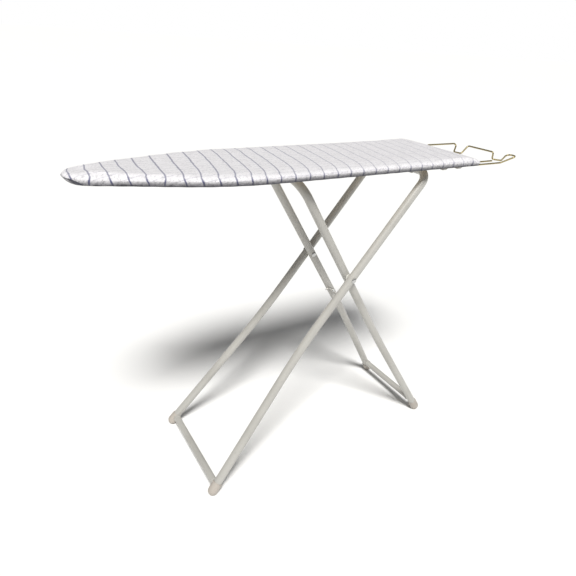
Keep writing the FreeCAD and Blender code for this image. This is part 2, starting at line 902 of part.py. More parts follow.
def storage_hook():
    """Small wire hook that swings on the inner leg and holds the folded frames together."""
    wire = size("hook_wire")
    y = size("inner_half") - size("tube_dia") / 2 - size("hook_gap") - wire / 2
    base = hook_origin()
    shape = [(46.0, -38.0), (0.0, 0.0), (-13.0, 10.0), (-24.0, 13.0), (-30.0, 7.0)]
    points = [V(base.x + dx, y, base.z + dz) for dx, dz in shape]
    hook = bent_wire("hook_wire", points, 5.0, "sizes.hook_wire / 2")
    eye = doc.addObject("Part::Cylinder", "hook_eye")
    bind(eye, "Radius", "sizes.hook_eye")
    bind(eye, "Height", "sizes.hook_wire")
    turn = FreeCAD.Rotation(V(1, 0, 0), -90)
    eye.Placement = FreeCAD.Placement(V(base.x, y - wire / 2, base.z), turn)
    bore = doc.addObject("Part::Cylinder", "hook_bore")
    bind(bore, "Radius", "sizes.hook_pin / 2 + sizes.rivet_fit")
    bore.Height = 12.0
    bore.Placement = FreeCAD.Placement(V(base.x, y - 6.0, base.z), turn)
    both = doc.addObject("Part::MultiFuse", "hook_solid")
    both.Shapes = [hook, eye]
    cut = doc.addObject("Part::Cut", "hook_cut")
    cut.Base = both
    cut.Tool = bore
    del NODES["hook_wire"]
    return node(cut, "storage_hook")


def hook_rivet():
    """Pin the hook turns on, fixed in the leg."""
    wire = size("hook_wire")
    face = size("inner_half") - size("tube_dia") / 2
    pin = size("hook_pin") / 2
    low = face - size("hook_gap") - wire - 0.4
    points = [(0.0, low - 2.0), (4.5, low - 2.0), (5.0, low - 1.4), (5.0, low), (pin, low),
              (pin, face + 6.0), (0.0, face + 6.0)]
    rivet = turned("hook_rivet_body", points)
    base = hook_origin()
    turn = FreeCAD.Rotation(V(1, 0, 0), -90)
    rivet.Placement = FreeCAD.Placement(V(base.x, 0, base.z), turn)
    return node(rivet, "hook_rivet")


def inner_frame_tube():
    """Inner frame with the extra hole for the hook rivet in its far leg."""
    body = leg_frame("inner")
    base = hook_origin()
    drill = doc.addObject("Part::Cylinder", "hook_drill")
    bind(drill, "Radius", "sizes.hook_pin / 2 + 0.1")
    drill.Height = 12.0
    turn = FreeCAD.Rotation(V(1, 0, 0), -90)
    low = size("inner_half") - size("tube_dia") / 2 - 4.0
    drill.Placement = FreeCAD.Placement(V(base.x, low, base.z), turn)
    cut = doc.addObject("Part::Cut", "inner_drilled")
    cut.Base = body
    cut.Tool = drill
    return node(cut, "inner_leg_frame")


def build():
    board_deck()
    foam_pad()
    board_cover()
    for side_y in (-1.0, 1.0):
        hinge_saddle(side_y)
        rack_plate(side_y)
        pivot_rivet(side_y)
        pivot_washer(side_y)
        foot_cap("outer", side_y)
        foot_cap("inner", side_y)
    rack_spacer()
    underside_screws()
    rest_bracket("rest_bracket_inner", size("bracket_inner_x"))
    rest_bracket("rest_bracket_outer", size("bracket_outer_x"))
    iron_rest_frame()
    rest_rail(-1.0, size("rest_near_x"))
    rest_rail(1.0, size("rest_far_x"))
    node(leg_frame("outer"), "outer_leg_frame")
    inner_frame_tube()
    cross_bar("outer")
    cross_bar("inner")
    storage_hook()
    hook_rivet()


def export():
    os.makedirs("parts", exist_ok=True)
    for item in doc.Objects:
        if "Invalid" in item.State or "Error" in item.State:
            raise RuntimeError("object %s is not valid" % item.Label)
    for name, item in NODES.items():
        if item.Shape.isNull() or not item.Shape.isValid():
            raise RuntimeError("shape %s is not valid" % name)
        box = item.Shape.BoundBox
        print("%-22s vol %10.0f  x %8.1f %8.1f  y %7.1f %7.1f  z %7.1f %7.1f" % (
            name, item.Shape.Volume, box.XMin, box.XMax, box.YMin, box.YMax, box.ZMin, box.ZMax))
        item.Shape.exportStep("parts/%s.step" % name)


build()
doc.recompute()
export()
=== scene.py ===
import json
import math

import bmesh
import bpy
import numpy as np
from bpy.props import FloatProperty, FloatVectorProperty, IntProperty, PointerProperty
from mathutils import Matrix, Vector


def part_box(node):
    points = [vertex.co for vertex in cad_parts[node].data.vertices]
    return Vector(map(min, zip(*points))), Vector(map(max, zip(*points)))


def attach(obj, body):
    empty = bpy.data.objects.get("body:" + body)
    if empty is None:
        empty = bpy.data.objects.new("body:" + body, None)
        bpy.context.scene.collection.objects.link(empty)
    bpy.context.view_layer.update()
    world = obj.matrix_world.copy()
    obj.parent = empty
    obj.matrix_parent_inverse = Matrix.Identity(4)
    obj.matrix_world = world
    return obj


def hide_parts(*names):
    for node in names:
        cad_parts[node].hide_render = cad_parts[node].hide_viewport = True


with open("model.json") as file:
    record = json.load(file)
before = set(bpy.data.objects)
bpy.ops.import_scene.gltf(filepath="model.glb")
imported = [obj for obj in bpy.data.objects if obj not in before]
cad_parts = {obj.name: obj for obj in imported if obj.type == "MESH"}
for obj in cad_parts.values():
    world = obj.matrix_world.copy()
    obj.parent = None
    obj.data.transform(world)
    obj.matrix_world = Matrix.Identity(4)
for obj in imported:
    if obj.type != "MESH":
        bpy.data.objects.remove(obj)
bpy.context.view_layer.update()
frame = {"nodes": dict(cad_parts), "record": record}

bl_info = {
    "name": "Ironing board",
    "version": (1, 0, 0),
    "blender": (4, 5, 0),
    "location": "3D View > Sidebar > Ironing board",
    "description": "Builds the looks of a folding ironing board around its packed model",
    "category": "Object",
}

COVER_LOW, COVER_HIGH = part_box("board_cover")
DECK_LOW, DECK_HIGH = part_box("board_deck")
FULL_HEIGHT = COVER_HIGH.z - COVER_LOW.z
SLOTS = {entry["node"]: entry["material_slot"] for entry in frame["record"]["subparts"]}

CHIN_FADE = 0.048           # length over which the drawn-back underside of the nose fades
HEM_LINE = 0.0012           # anything lower than this over the hem belongs to the underside
OVER_EDGE = 1.08            # arc length of the padded edge against its straight measure
SIM_FRAMES = 20
FOAM_STOP = 0.011           # foam ends this far short of the square end
STITCH_INSET = 0.0112
STITCH_DEPTH = -0.0014
# Tucks on the side: x, side of the board, half length.
PLEATS = ((-0.612, -1.0, 0.034), (-0.470, -1.0, 0.036), (-0.545, 1.0, 0.026),
          (0.405, -1.0, 0.022))
# Lay of the stripes along the board.
STRIPE_START = 0.0145
NOSE_CLOTH_X = -0.212
NOSE_CLOTH_PULL = 1.093
SKEW_FROM = -0.560
SKEW_TO = -0.280
NOSE_SKEW = 0.14


# ---- settings --------------------------------------------------------------------------------

def length(name, description, default):
    return FloatProperty(name=name, description=description, default=default, unit="LENGTH",
                         min=0.0, precision=4)


def angle(name, description, degrees):
    return FloatProperty(name=name, description=description, default=math.radians(degrees),
                         subtype="ANGLE")


def strength(name, description, default):
    return FloatProperty(name=name, description=description, default=default, min=0.0)


def colour(name, description, default):
    return FloatVectorProperty(name=name, description=description, default=default,
                               subtype="COLOR", size=3, min=0.0, max=1.0)


class CoverSettings(bpy.types.PropertyGroup):
    """Sizes and colours of the cloth cover."""

    nose_radius: length("Nose radius", "Radius of the blunt nose in plan", 0.050)
    taper_angle: angle("Taper", "Slant of the tapered sides", 20.3)
    shoulder_radius: length("Shoulder radius", "Bend from the taper to the parallel sides", 0.637)
    corner_radius: length("Corner radius", "Corners of the square end", 0.019)
    edge_reach: length("Edge reach", "How far in from the side the edge begins to fall", 0.016)
    edge_fall: length("Edge fall", "Height of the padded edge above its widest line", 0.0100)
    tuck: length("Tuck", "How far the side turns in under the padding", 0.0060)
    chin_reach: length("Chin reach", "How far the underside of the nose is drawn back", 0.0115)
    chin_rise: length("Chin rise", "Height of the drawn-back part of the nose", 0.0125)
    nose_plump: length("Nose fill", "Extra height of the padding at the nose", 0.0036)
    plump_reach: length("Nose fill reach", "Length over which the extra height fades", 0.22)
    tail_reach: length("Tail reach", "Length of the slope at the square end", 0.048)
    tail_fall: length("Tail fall", "Fall of the top at the square end", 0.0089)
    hem_width: length("Hem width", "Cloth turned under the deck", 0.0175)
    cloth_thick: length("Cloth thickness", "Cover cloth", 0.0011)
    cell: length("Mesh cell", "Spacing of the cover mesh", 0.0090)
    puff: length("Puff", "Furthest the padding may push the cloth", 0.0024)
    pucker: length("Pucker", "Depth of the gathers along the hem", 0.0013)
    stripe_pitch: length("Stripe pitch", "Distance from stripe to stripe", 0.0398)
    stripe_width: length("Stripe width", "Width of a cross stripe", 0.0036)
    stripe_skew: length("Stripe skew", "How far a stripe's far end lies towards the tail", 0.055)
    check_pitch: length("Check pitch", "Distance between the pale lengthwise lines", 0.0195)
    thread_pitch: length("Thread pitch", "Distance from thread to thread", 0.0012)
    cloth_colour: colour("Cloth", "Ground colour of the cover", (0.93, 0.915, 0.94))
    # The fleck colour is also the base of the painted shade down the side of the cover.
    fleck_and_shade_colour: colour("Fleck", "Grey flecks of the yarn", (0.20, 0.195, 0.22))
    stripe_colour: colour("Stripe", "Cross stripes", (0.060, 0.068, 0.185))
    check_colour: colour("Check line", "Lengthwise lines", (0.40, 0.39, 0.47))
    binding_colour: colour("Binding", "Tape along the hem and the nose", (0.030, 0.031, 0.045))


class MetalSettings(bpy.types.PropertyGroup):
    """Colours and surface of the frames and fittings."""

    enamel_colour: colour("Enamel", "Stoved enamel of the frames", (0.462, 0.452, 0.422))
    enamel_shadow: colour("Enamel grime", "Duller tone where hands and dust reach",
                          (0.30, 0.288, 0.262))
    wire_colour: colour("Rest wire", "Passivated wire of the iron rest", (0.46, 0.385, 0.20))
    cap_colour: colour("Foot caps", "Moulded feet", (0.46, 0.42, 0.375))
    zinc_colour: colour("Zinc", "Plated rivets, rack and screws", (0.62, 0.62, 0.61))
    deck_colour: colour("Deck", "Resin-faced board", (0.52, 0.44, 0.33))
    weld_bead: length("Weld bead", "Radius of a weld ripple", 0.0021)
    weld_count: IntProperty(name="Weld ripples", description="Ripples round one weld",
                            default=30, min=8)


class StageSettings(bpy.types.PropertyGroup):
    """Camera and light."""

    camera_place: FloatVectorProperty(name="Camera", description="Camera position",
                                      default=(-0.8196, -1.1799, 1.1962), subtype="XYZ",
                                      unit="LENGTH")
    camera_yaw: angle("Yaw", "Turn to the right of straight across", 32.11)
    camera_pitch: angle("Pitch", "Tilt down", 25.96)
    camera_roll: angle("Roll", "Turn about the line of sight", 3.92)
    camera_lens: FloatProperty(name="Lens", description="Focal length for a 36 mm frame",
                               default=32.80, min=1.0)
    ambient: strength("Ambient", "Strength of the even surrounding light", 0.17)
    key_strength: strength("Key light", "Strength of the front light", 3.55)
    key_softness: angle("Key softness", "Angle the front light fills", 15.0)
    key_from: FloatVectorProperty(name="Key from", description="Where the front light comes from",
                                  default=(-0.24, -0.50, 0.83), subtype="DIRECTION")
    floor_colour: colour("Floor", "Plain pale floor", (0.96, 0.96, 0.955))


# ---- shader helpers --------------------------------------------------------------------------

def add_socket(tree, name, kind, in_out, default=None):
    socket = tree.interface.new_socket(name=name, in_out=in_out, socket_type=kind)
    if default is not None:
        socket.default_value = default
    return socket


def new_group(name, inputs, outputs):
    """Shader group with its inputs (name, kind, default) and outputs (name, kind)."""
    tree = bpy.data.node_groups.new(name, "ShaderNodeTree")
    for label, kind, default in inputs:
        add_socket(tree, label, kind, "INPUT", default)
    for label, kind in outputs:
        add_socket(tree, label, kind, "OUTPUT")
    return tree, tree.nodes.new("NodeGroupInput"), tree.nodes.new("NodeGroupOutput")


def wire(tree, source, target):
    tree.links.new(source, target)


def put(tree, value, socket):
    """Links a socket, or sets a plain value."""
    if isinstance(value, bpy.types.NodeSocket):
        tree.links.new(value, socket)
    else:
        socket.default_value = value


def preset(node, values):
    """Sets the node's inputs by name."""
    for name, value in values.items():
        node.inputs[name].default_value = value


def math_node(tree, operation, first, second=None, third=None, clamp=False):
    node = tree.nodes.new("ShaderNodeMath")
    node.operation = operation
    node.use_clamp = clamp
    for value, socket in zip((first, second, third), node.inputs):
        if value is not None:
            put(tree, value, socket)
    return node.outputs[0]


def scaled(tree, value, factor, extra, clamp=False):
    """value * factor + extra."""
    return math_node(tree, "MULTIPLY_ADD", value, factor, extra, clamp)


def times(tree, first, second):
    return math_node(tree, "MULTIPLY", first, second)


def mix_colour(tree, factor, first, second, blend="MIX"):
    node = tree.nodes.new("ShaderNodeMix")
    node.data_type = "RGBA"
    node.blend_type = blend
    put(tree, factor, node.inputs["Factor"])
    put(tree, first, node.inputs[6])
    put(tree, second, node.inputs[7])
    return node.outputs[2]


def ramp(tree, value, low, high):
    """0 below low, 1 above high, smooth between."""
    node = tree.nodes.new("ShaderNodeMapRange")
    node.interpolation_type = "SMOOTHSTEP"
    put(tree, value, node.inputs["Value"])
    put(tree, low, node.inputs["From Min"])
    put(tree, high, node.inputs["From Max"])
    return node.outputs["Result"]


def noise(tree, vector, scale, detail=3.0, rough=0.55, lift=0.0):
    node = tree.nodes.new("ShaderNodeTexNoise")
    put(tree, vector, node.inputs["Vector"])
    put(tree, scale, node.inputs["Scale"])
    preset(node, {"Detail": detail, "Roughness": rough, "Distortion": lift})
    return node.outputs["Fac"]


def weave_group():
    """Plain weave: crossing threads that pass over and under one another."""
    tree, enter, leave = new_group(
        "plain_weave",
        [("Vector", "NodeSocketVector", None), ("Thread Pitch", "NodeSocketFloat", 0.001),
         ("Slub", "NodeSocketFloat", 0.35)],
        [("Height", "NodeSocketFloat"), ("Thread Shade", "NodeSocketFloat")],
    )
    split = tree.nodes.new("ShaderNodeSeparateXYZ")
    wire(tree, enter.outputs["Vector"], split.inputs[0])
    turn = math_node(tree, "DIVIDE", math.pi, enter.outputs["Thread Pitch"])
    across = times(tree, split.outputs["X"], turn)
    along = times(tree, split.outputs["Y"], turn)
    warp = math_node(tree, "ABSOLUTE", math_node(tree, "SINE", across))
    weft = math_node(tree, "ABSOLUTE", math_node(tree, "SINE", along))
    over = times(tree, math_node(tree, "SINE", across), math_node(tree, "SINE", along))
    over = ramp(tree, over, -0.25, 0.25)
    mixed = tree.nodes.new("ShaderNodeMix")
    put(tree, over, mixed.inputs["Factor"])
    put(tree, warp, mixed.inputs[2])
    put(tree, weft, mixed.inputs[3])
    slub = noise(tree, enter.outputs["Vector"], 260.0, 4.0, 0.6)
    slub = math_node(tree, "SUBTRACT", slub, 0.5)
    slub = times(tree, slub, enter.outputs["Slub"])
    put(tree, math_node(tree, "ADD", mixed.outputs[0], slub), leave.inputs["Height"])
    # Thread shade follows the threads' height: lighter on the crowns and slubs, darker in the
    # hollows between threads, a painted shade.
    tone = scaled(tree, mixed.outputs[0], 0.22, 0.82)
    put(tree, math_node(tree, "ADD", tone, times(tree, slub, 1.1)), leave.inputs["Thread Shade"])
    return tree


def grime_group():
    """Slow and fast variation of tone and gloss, as handling and dust leave on a finish."""
    tree, enter, leave = new_group(
        "handled_finish",
        [("Vector", "NodeSocketVector", None), ("Clean", "NodeSocketColor", (0.6, 0.6, 0.6, 1)),
         ("Dull", "NodeSocketColor", (0.4, 0.4, 0.4, 1)), ("Amount", "NodeSocketFloat", 0.4),
         ("Gloss", "NodeSocketFloat", 0.35), ("Spread", "NodeSocketFloat", 0.12)],
        [("Color", "NodeSocketColor"), ("Roughness", "NodeSocketFloat"),
         ("Peel", "NodeSocketFloat")],
    )
    broad = noise(tree, enter.outputs["Vector"], 7.0, 5.0, 0.6, 0.4)
    fine = noise(tree, enter.outputs["Vector"], 90.0, 4.0, 0.65)
    patch = ramp(tree, broad, 0.42, 0.72)
    patch = times(tree, patch, enter.outputs["Amount"])
    speck = times(tree, ramp(tree, fine, 0.60, 0.78), 0.35)
    both = math_node(tree, "ADD", patch, speck, clamp=True)
    put(tree, mix_colour(tree, both, enter.outputs["Clean"], enter.outputs["Dull"]),
        leave.inputs["Color"])
    rough = scaled(tree, both, enter.outputs["Spread"], enter.outputs["Gloss"])
    put(tree, rough, leave.inputs["Roughness"])
    put(tree, noise(tree, enter.outputs["Vector"], 420.0, 2.0, 0.5), leave.inputs["Peel"])
    return tree


def stripe_group():
    """Mask of thin lines across one axis: 1 on a line and 0 between."""
    tree, enter, leave = new_group(
        "thin_lines",
        [("Position", "NodeSocketFloat", 0.0), ("Pitch", "NodeSocketFloat", 0.04),
         ("Width", "NodeSocketFloat", 0.002), ("Softness", "NodeSocketFloat", 0.35)],
        [("Mask", "NodeSocketFloat")],
    )
    cells = math_node(tree, "DIVIDE", enter.outputs["Position"], enter.outputs["Pitch"])
    part = math_node(tree, "ABSOLUTE", math_node(
        tree, "SUBTRACT", math_node(tree, "FRACT", math_node(tree, "ADD", cells, 0.5)), 0.5))
    reach = times(tree, part, enter.outputs["Pitch"])
    half = times(tree, enter.outputs["Width"], 0.5)
    soft = times(tree, enter.outputs["Width"], enter.outputs["Softness"])
    low = math_node(tree, "SUBTRACT", half, soft)
    high = math_node(tree, "ADD", half, soft)
    put(tree, math_node(tree, "SUBTRACT", 1.0, ramp(tree, reach, low, high)), leave.inputs["Mask"])
    return tree


GROUPS = {}
GROUP_MAKERS = {"plain_weave": weave_group, "handled_finish": grime_group,
                "thin_lines": stripe_group}


def use_group(material, name):
    if name not in GROUPS:
        GROUPS[name] = GROUP_MAKERS[name]()
    node = material.node_tree.nodes.new("ShaderNodeGroup")
    node.node_tree = GROUPS[name]
    return node


def new_material(name):
    material = bpy.data.materials.new(name)
    material.use_nodes = True
    shader = material.node_tree.nodes["Principled BSDF"]
    return material, material.node_tree, shader


def object_coords(tree):
    return tree.nodes.new("ShaderNodeTexCoord").outputs["Object"]


def bump(tree, shader, height, strength, distance):
    node = tree.nodes.new("ShaderNodeBump")
    preset(node, {"Strength": strength, "Distance": distance})
    put(tree, height, node.inputs["Height"])
    wire(tree, node.outputs["Normal"], shader.inputs["Normal"])
    return node


def full(rgb):
    return (rgb[0], rgb[1], rgb[2], 1.0)


def toned(rgb, share):
    """Opaque colour, darker or lighter by a share."""
    return full([c * share for c in rgb])


# ---- materials -------------------------------------------------------------------------------

def cover_material(look):
    """Pale flecked cloth with thin blue cross stripes and fainter lengthwise lines."""
    material, tree, shader = new_material("cover_cloth")
    laid = tree.nodes.new("ShaderNodeUVMap")
    laid.uv_map = "cloth"
    cloth = laid.outputs["UV"]
    split = tree.nodes.new("ShaderNodeSeparateXYZ")
    wire(tree, cloth, split.inputs[0])
    side = tree.nodes.new("ShaderNodeAttribute")
    side.attribute_name = "side_drop"
    drop = side.outputs["Fac"]
    sway = math_node(tree, "SUBTRACT", noise(tree, cloth, 9.0, 2.0), 0.5)
    tremble = math_node(tree, "SUBTRACT", noise(tree, cloth, 60.0, 2.0), 0.5)
    shifted = scaled(tree, sway, 0.010, split.outputs["X"])
    shifted = scaled(tree, tremble, 0.0022, shifted)
    across = scaled(tree, sway, 0.006, split.outputs["Y"])
    stripes = use_group(material, "thin_lines")
    put(tree, shifted, stripes.inputs["Position"])
    stripes.inputs["Pitch"].default_value = look.stripe_pitch
    put(tree, scaled(tree, drop, look.stripe_width * 0.35, look.stripe_width),
        stripes.inputs["Width"])
    lines = use_group(material, "thin_lines")
    put(tree, across, lines.inputs["Position"])
    preset(lines, {"Pitch": look.check_pitch, "Width": look.stripe_width * 0.55,
                   "Softness": 0.6})
    weave = use_group(material, "plain_weave")
    wire(tree, cloth, weave.inputs["Vector"])
    weave.inputs["Thread Pitch"].default_value = look.thread_pitch
    # Yarn flecks, laid denser and heavier down the side towards the hem; the extra weight there is
    # painted shade on the side.
    fleck = noise(tree, cloth, 150.0, 5.0, 0.75)
    fleck_edge = scaled(tree, drop, -0.07, 0.50)
    fleck = ramp(tree, fleck, fleck_edge, math_node(tree, "ADD", fleck_edge, 0.20))
    fleck_weight = scaled(tree, drop, 0.46, 0.46)
    ground = mix_colour(tree, times(tree, fleck, fleck_weight), full(look.cloth_colour),
                        full(look.fleck_and_shade_colour))
    cloudy = noise(tree, cloth, 42.0, 3.0, 0.55)
    cloudy = times(tree, ramp(tree, cloudy, 0.35, 0.70), 0.30)
    ground = mix_colour(tree, cloudy, ground, toned(look.cloth_colour, 0.78))
    broken = noise(tree, cloth, 130.0, 3.0, 0.6)
    faint = times(tree, lines.outputs["Mask"], ramp(tree, broken, 0.30, 0.75))
    ground = mix_colour(tree, times(tree, faint, 0.80), ground, full(look.check_colour))
    inked = scaled(tree, broken, 0.40, 0.50, clamp=True)
    tailward = ramp(tree, split.outputs["X"], -0.35, 0.25)
    paler = scaled(tree, tailward, -0.55, 0.95)
    inked = times(tree, inked, paler)
    # Stripes reach full ink down the side; that extra darkness is painted shade on the side.
    inked = math_node(tree, "ADD", inked, times(tree, drop, 0.70), clamp=True)
    ground = mix_colour(tree, times(tree, stripes.outputs["Mask"], inked), ground,
                        full(look.stripe_colour))
    # Painted shade: the side darkens towards the hem, where it turns under, mixed towards half the
    # fleck colour.
    side_shade = times(tree, ramp(tree, drop, 0.25, 0.90), 0.80)
    ground = mix_colour(tree, side_shade, ground, toned(look.fleck_and_shade_colour, 0.5))
    # Multiplies in the weave's painted shade, darker in the hollows between threads.
    woven = mix_colour(tree, 1.0, ground, weave.outputs["Thread Shade"], "MULTIPLY")
    wire(tree, woven, shader.inputs["Base Color"])
    rough = scaled(tree, weave.outputs["Height"], -0.12, 0.92)
    wire(tree, rough, shader.inputs["Roughness"])
    preset(shader, {"Sheen Weight": 0.2, "Sheen Roughness": 0.5, "Specular IOR Level": 0.22})
    nap = scaled(tree, noise(tree, cloth, 240.0, 3.0, 0.6), 2.2, weave.outputs["Height"])
    bump(tree, shader, nap, 0.6, 0.0006)
    return material


def cloth_material(name, rgb, pitch, rough):
    """Plain woven tape or thread in one dye, with its own slubs."""
    material, tree, shader = new_material(name)
    place = object_coords(tree)
    weave = use_group(material, "plain_weave")
    wire(tree, place, weave.inputs["Vector"])
    weave.inputs["Thread Pitch"].default_value = pitch
    tint = noise(tree, place, 40.0, 4.0, 0.6)
    dyed = mix_colour(tree, ramp(tree, tint, 0.35, 0.7), full(rgb), toned(rgb, 1.6))
    # Multiplies in the weave's painted shade, darker in the hollows between threads.
    wire(tree, mix_colour(tree, 1.0, dyed, weave.outputs["Thread Shade"], "MULTIPLY"),
         shader.inputs["Base Color"])
    wire(tree, scaled(tree, tint, 0.15, rough), shader.inputs["Roughness"])
    shader.inputs["Sheen Weight"].default_value = 0.3
    bump(tree, shader, weave.outputs["Height"], 0.5, 0.0003)
    return material


def foam_material():
    """Open-cell foam with pores."""
    material, tree, shader = new_material("foam_cells")
    place = object_coords(tree)
    cells = tree.nodes.new("ShaderNodeTexVoronoi")
    wire(tree, place, cells.inputs["Vector"])
    cells.inputs["Scale"].default_value = 700.0
    # Pores are coloured darker towards their depth, a painted shade in the pores; the same depth
    # also sets roughness and bump.
    depth = ramp(tree, cells.outputs["Distance"], 0.0, 0.6)
    wire(tree, mix_colour(tree, depth, (0.48, 0.40, 0.20, 1), (0.80, 0.72, 0.47, 1)),
         shader.inputs["Base Color"])
    wire(tree, scaled(tree, depth, 0.1, 0.85), shader.inputs["Roughness"])
    bump(tree, shader, depth, 0.7, 0.0006)
    return material


def finish_material(name, clean, dull, amount, gloss, spread, metallic, peel, coat=0.0):
    """Painted, plated or moulded finish with handling marks."""
    material, tree, shader = new_material(name)
    place = object_coords(tree)
    worn = use_group(material, "handled_finish")
    wire(tree, place, worn.inputs["Vector"])
    preset(worn, {"Clean": full(clean), "Dull": full(dull), "Amount": amount, "Gloss": gloss,
                  "Spread": spread})
    wire(tree, worn.outputs["Color"], shader.inputs["Base Color"])
    wire(tree, worn.outputs["Roughness"], shader.inputs["Roughness"])
    preset(shader, {"Metallic": metallic, "Coat Weight": coat, "Coat Roughness": 0.25})
    bump(tree, shader, worn.outputs["Peel"], peel, 0.00025)
    return material


def particle_board_material(rgb):
    """Resin-faced board: pressed chips seen through a thin clear face."""
    material, tree, shader = new_material("particle_board")
    place = object_coords(tree)
    chips = tree.nodes.new("ShaderNodeTexVoronoi")
    stretch = tree.nodes.new("ShaderNodeMapping")
    stretch.inputs["Scale"].default_value = (1.0, 2.6, 2.0)
    wire(tree, place, stretch.inputs["Vector"])
    wire(tree, stretch.outputs["Vector"], chips.inputs["Vector"])
    chips.inputs["Scale"].default_value = 240.0
    tone = tree.nodes.new("ShaderNodeSeparateColor")
    wire(tree, chips.outputs["Color"], tone.inputs[0])
    chip = mix_colour(tree, tone.outputs[0], toned(rgb, 0.72), toned(rgb, 1.22))
    cloud = ramp(tree, noise(tree, place, 11.0, 4.0), 0.3, 0.8)
    wire(tree, mix_colour(tree, times(tree, cloud, 0.3), chip, toned(rgb, 0.62)),
         shader.inputs["Base Color"])
    wire(tree, scaled(tree, tone.outputs[1], 0.18, 0.42), shader.inputs["Roughness"])
    bump(tree, shader, chips.outputs["Distance"], 0.25, 0.0003)
    return material


# ---- board outline ---------------------------------------------------------------------------

def outline(look, count):
    """Evenly spaced points of the board's outline, counter-clockwise, with outward normals."""
    taper = look.taper_angle
    nose = look.nose_radius
    half = COVER_HIGH.y
    end = COVER_HIGH.x
    hub = COVER_LOW.x + nose
    shoulder = look.shoulder_radius
    corner = look.corner_radius
    tangent = Vector((hub - nose * math.sin(taper), nose * math.cos(taper)))
    low_y = half - shoulder * (1.0 - math.cos(taper))
    low_x = tangent.x + (low_y - tangent.y) / math.tan(taper)
    high_x = low_x + shoulder * math.sin(taper)
    steps = np.linspace(0.0, 1.0, 160)[:, None]

    def arc(cx, cy, radius, start, stop):
        turn = start + (stop - start) * steps
        return np.hstack([cx + radius * np.cos(turn), cy + radius * np.sin(turn)])

    def run(first, last):
        return np.array(first) + (np.array(last) - np.array(first)) * steps

    quarter = math.pi / 2
    upper = np.vstack([
        arc(hub, 0.0, nose, math.pi, quarter + taper),
        run(tangent, (low_x, low_y)),
        arc(high_x, half - shoulder, shoulder, quarter + taper, quarter),
        run((high_x, half), (end - corner, half)),
        arc(end - corner, half - corner, corner, quarter, 0.0),
        run((end, half - corner), (end, 0.0)),
    ])
    lower = upper[::-1] * np.array([1.0, -1.0])
    loop = np.vstack([upper, lower])
    gaps = np.hypot(*np.diff(loop, axis=0).T)
    loop = loop[np.concatenate([[True], gaps > 1e-7])]
    travel = np.concatenate([[0.0], np.cumsum(np.hypot(*np.diff(loop, axis=0).T))])
    wanted = np.linspace(0.0, travel[-1], count, endpoint=False)
    points = np.stack([np.interp(wanted, travel, loop[:, i]) for i in (0, 1)], axis=1)[::-1]
    ahead = np.roll(points, -1, axis=0) - np.roll(points, 1, axis=0)
    ahead /= np.linalg.norm(ahead, axis=1)[:, None]
    normals = np.stack([ahead[:, 1], -ahead[:, 0]], axis=1)
    return points, normals


def spine_point(look, points):
    """Nearest point of the board's middle line, which the inner rings shrink to."""
    first = COVER_LOW.x + look.nose_radius
    last = COVER_HIGH.x - COVER_HIGH.y * 0.8
    return np.stack([np.clip(points[:, 0], first, last), np.zeros(len(points))], axis=1)


def tail_slope(look, x):
    """0 on the level top, rising to 1 at the square end."""
    return np.clip((x - (COVER_HIGH.x - look.tail_reach)) / look.tail_reach, 0.0, 1.0)


def settled(look, flat, height):
    """Points at a height over the hem, with the nose drawn back below and the end sloped."""
    flat = np.array(flat, dtype=float)
    x = flat[:, 0]
    nose = COVER_LOW.x
    fade = np.clip(1.0 - (x - nose) / CHIN_FADE, 0.0, 1.0) ** 1.5
    below = np.clip(1.0 - height / look.chin_rise, 0.0, 1.0)
    plump = np.clip(1.0 - (x - nose) / look.plump_reach, 0.0, 1.0)
    plump = plump * plump * (3.0 - 2.0 * plump) * look.nose_plump
    scale = 1.0 + (plump - tail_slope(look, x) * look.tail_fall) / FULL_HEIGHT
    flat[:, 0] = x + look.chin_reach * below * fade
    return np.hstack([flat, (COVER_LOW.z + height * scale)[:, None]])


def cover_profile(look):
    """(inset, height) of each ring from the hem's inner edge round to the padded top."""
    widest = FULL_HEIGHT - look.edge_fall
    hem = look.hem_width
    profile = [(hem, 0.0003), (hem - 0.0015, -0.0011), (hem - 0.0035, -0.0014),
               (hem - 0.0055, -0.0004), (look.tuck + 0.003, 0.0), (look.tuck, 0.0)]
    for turn in np.linspace(0.0, math.pi / 2, 8)[1:]:
        profile.append((look.tuck * (1.0 - math.sin(turn)), widest * (1.0 - math.cos(turn))))
    for turn in np.linspace(0.0, math.pi / 2, 8)[1:]:
        profile.append((look.edge_reach * (1.0 - math.cos(turn)),
                        widest + look.edge_fall * math.sin(turn)))
    return profile


def tucked(look, height, widest):
    """Inset of the side, turned in under its widest line, and the angle it stands at."""
    turn = np.arccos(np.clip(1.0 - height / widest, -1.0, 1.0))
    return look.tuck * (1.0 - np.sin(turn)), turn


def ring_stack(look, count):
    """Closed padded form as rings of points: underside centre, hem, side, top, centre line."""
    points, normals = outline(look, count)
    spine = spine_point(look, points)
    rings = []
    profile = cover_profile(look)
    inner = points - normals * profile[0][0]
    for share in (0.0, 0.35, 0.7):
        rings.append(settled(look, spine + (inner - spine) * share,
                             np.full(count, profile[0][1])))
    for inset, height in profile:
        rings.append(settled(look, points - normals * inset, np.full(count, height)))
    rim = points - normals * profile[-1][0]
    top_rings = int(COVER_HIGH.y / look.cell)
    full_height = np.full(count, FULL_HEIGHT)
    for share in np.linspace(1.0, 0.0, top_rings)[1:]:
        rings.append(settled(look, spine + (rim - spine) * share, full_height))
    return rings


def mesh_from_rings(name, rings):
    """Quads between neighbouring rings, each a closed loop."""
    count = len(rings[0])
    faces = []
    for level in range(len(rings) - 1):
        base = level * count
        for i in range(count):
            j = (i + 1) % count
            faces.append((base + i, base + j, base + count + j, base + count + i))
    mesh = bpy.data.meshes.new(name)
    mesh.from_pydata([tuple(p) for p in np.vstack(rings)], [], faces)
    return mesh


def link(mesh, name):
    piece = bpy.data.objects.new(name, mesh)
    bpy.context.scene.collection.objects.link(piece)
    return piece


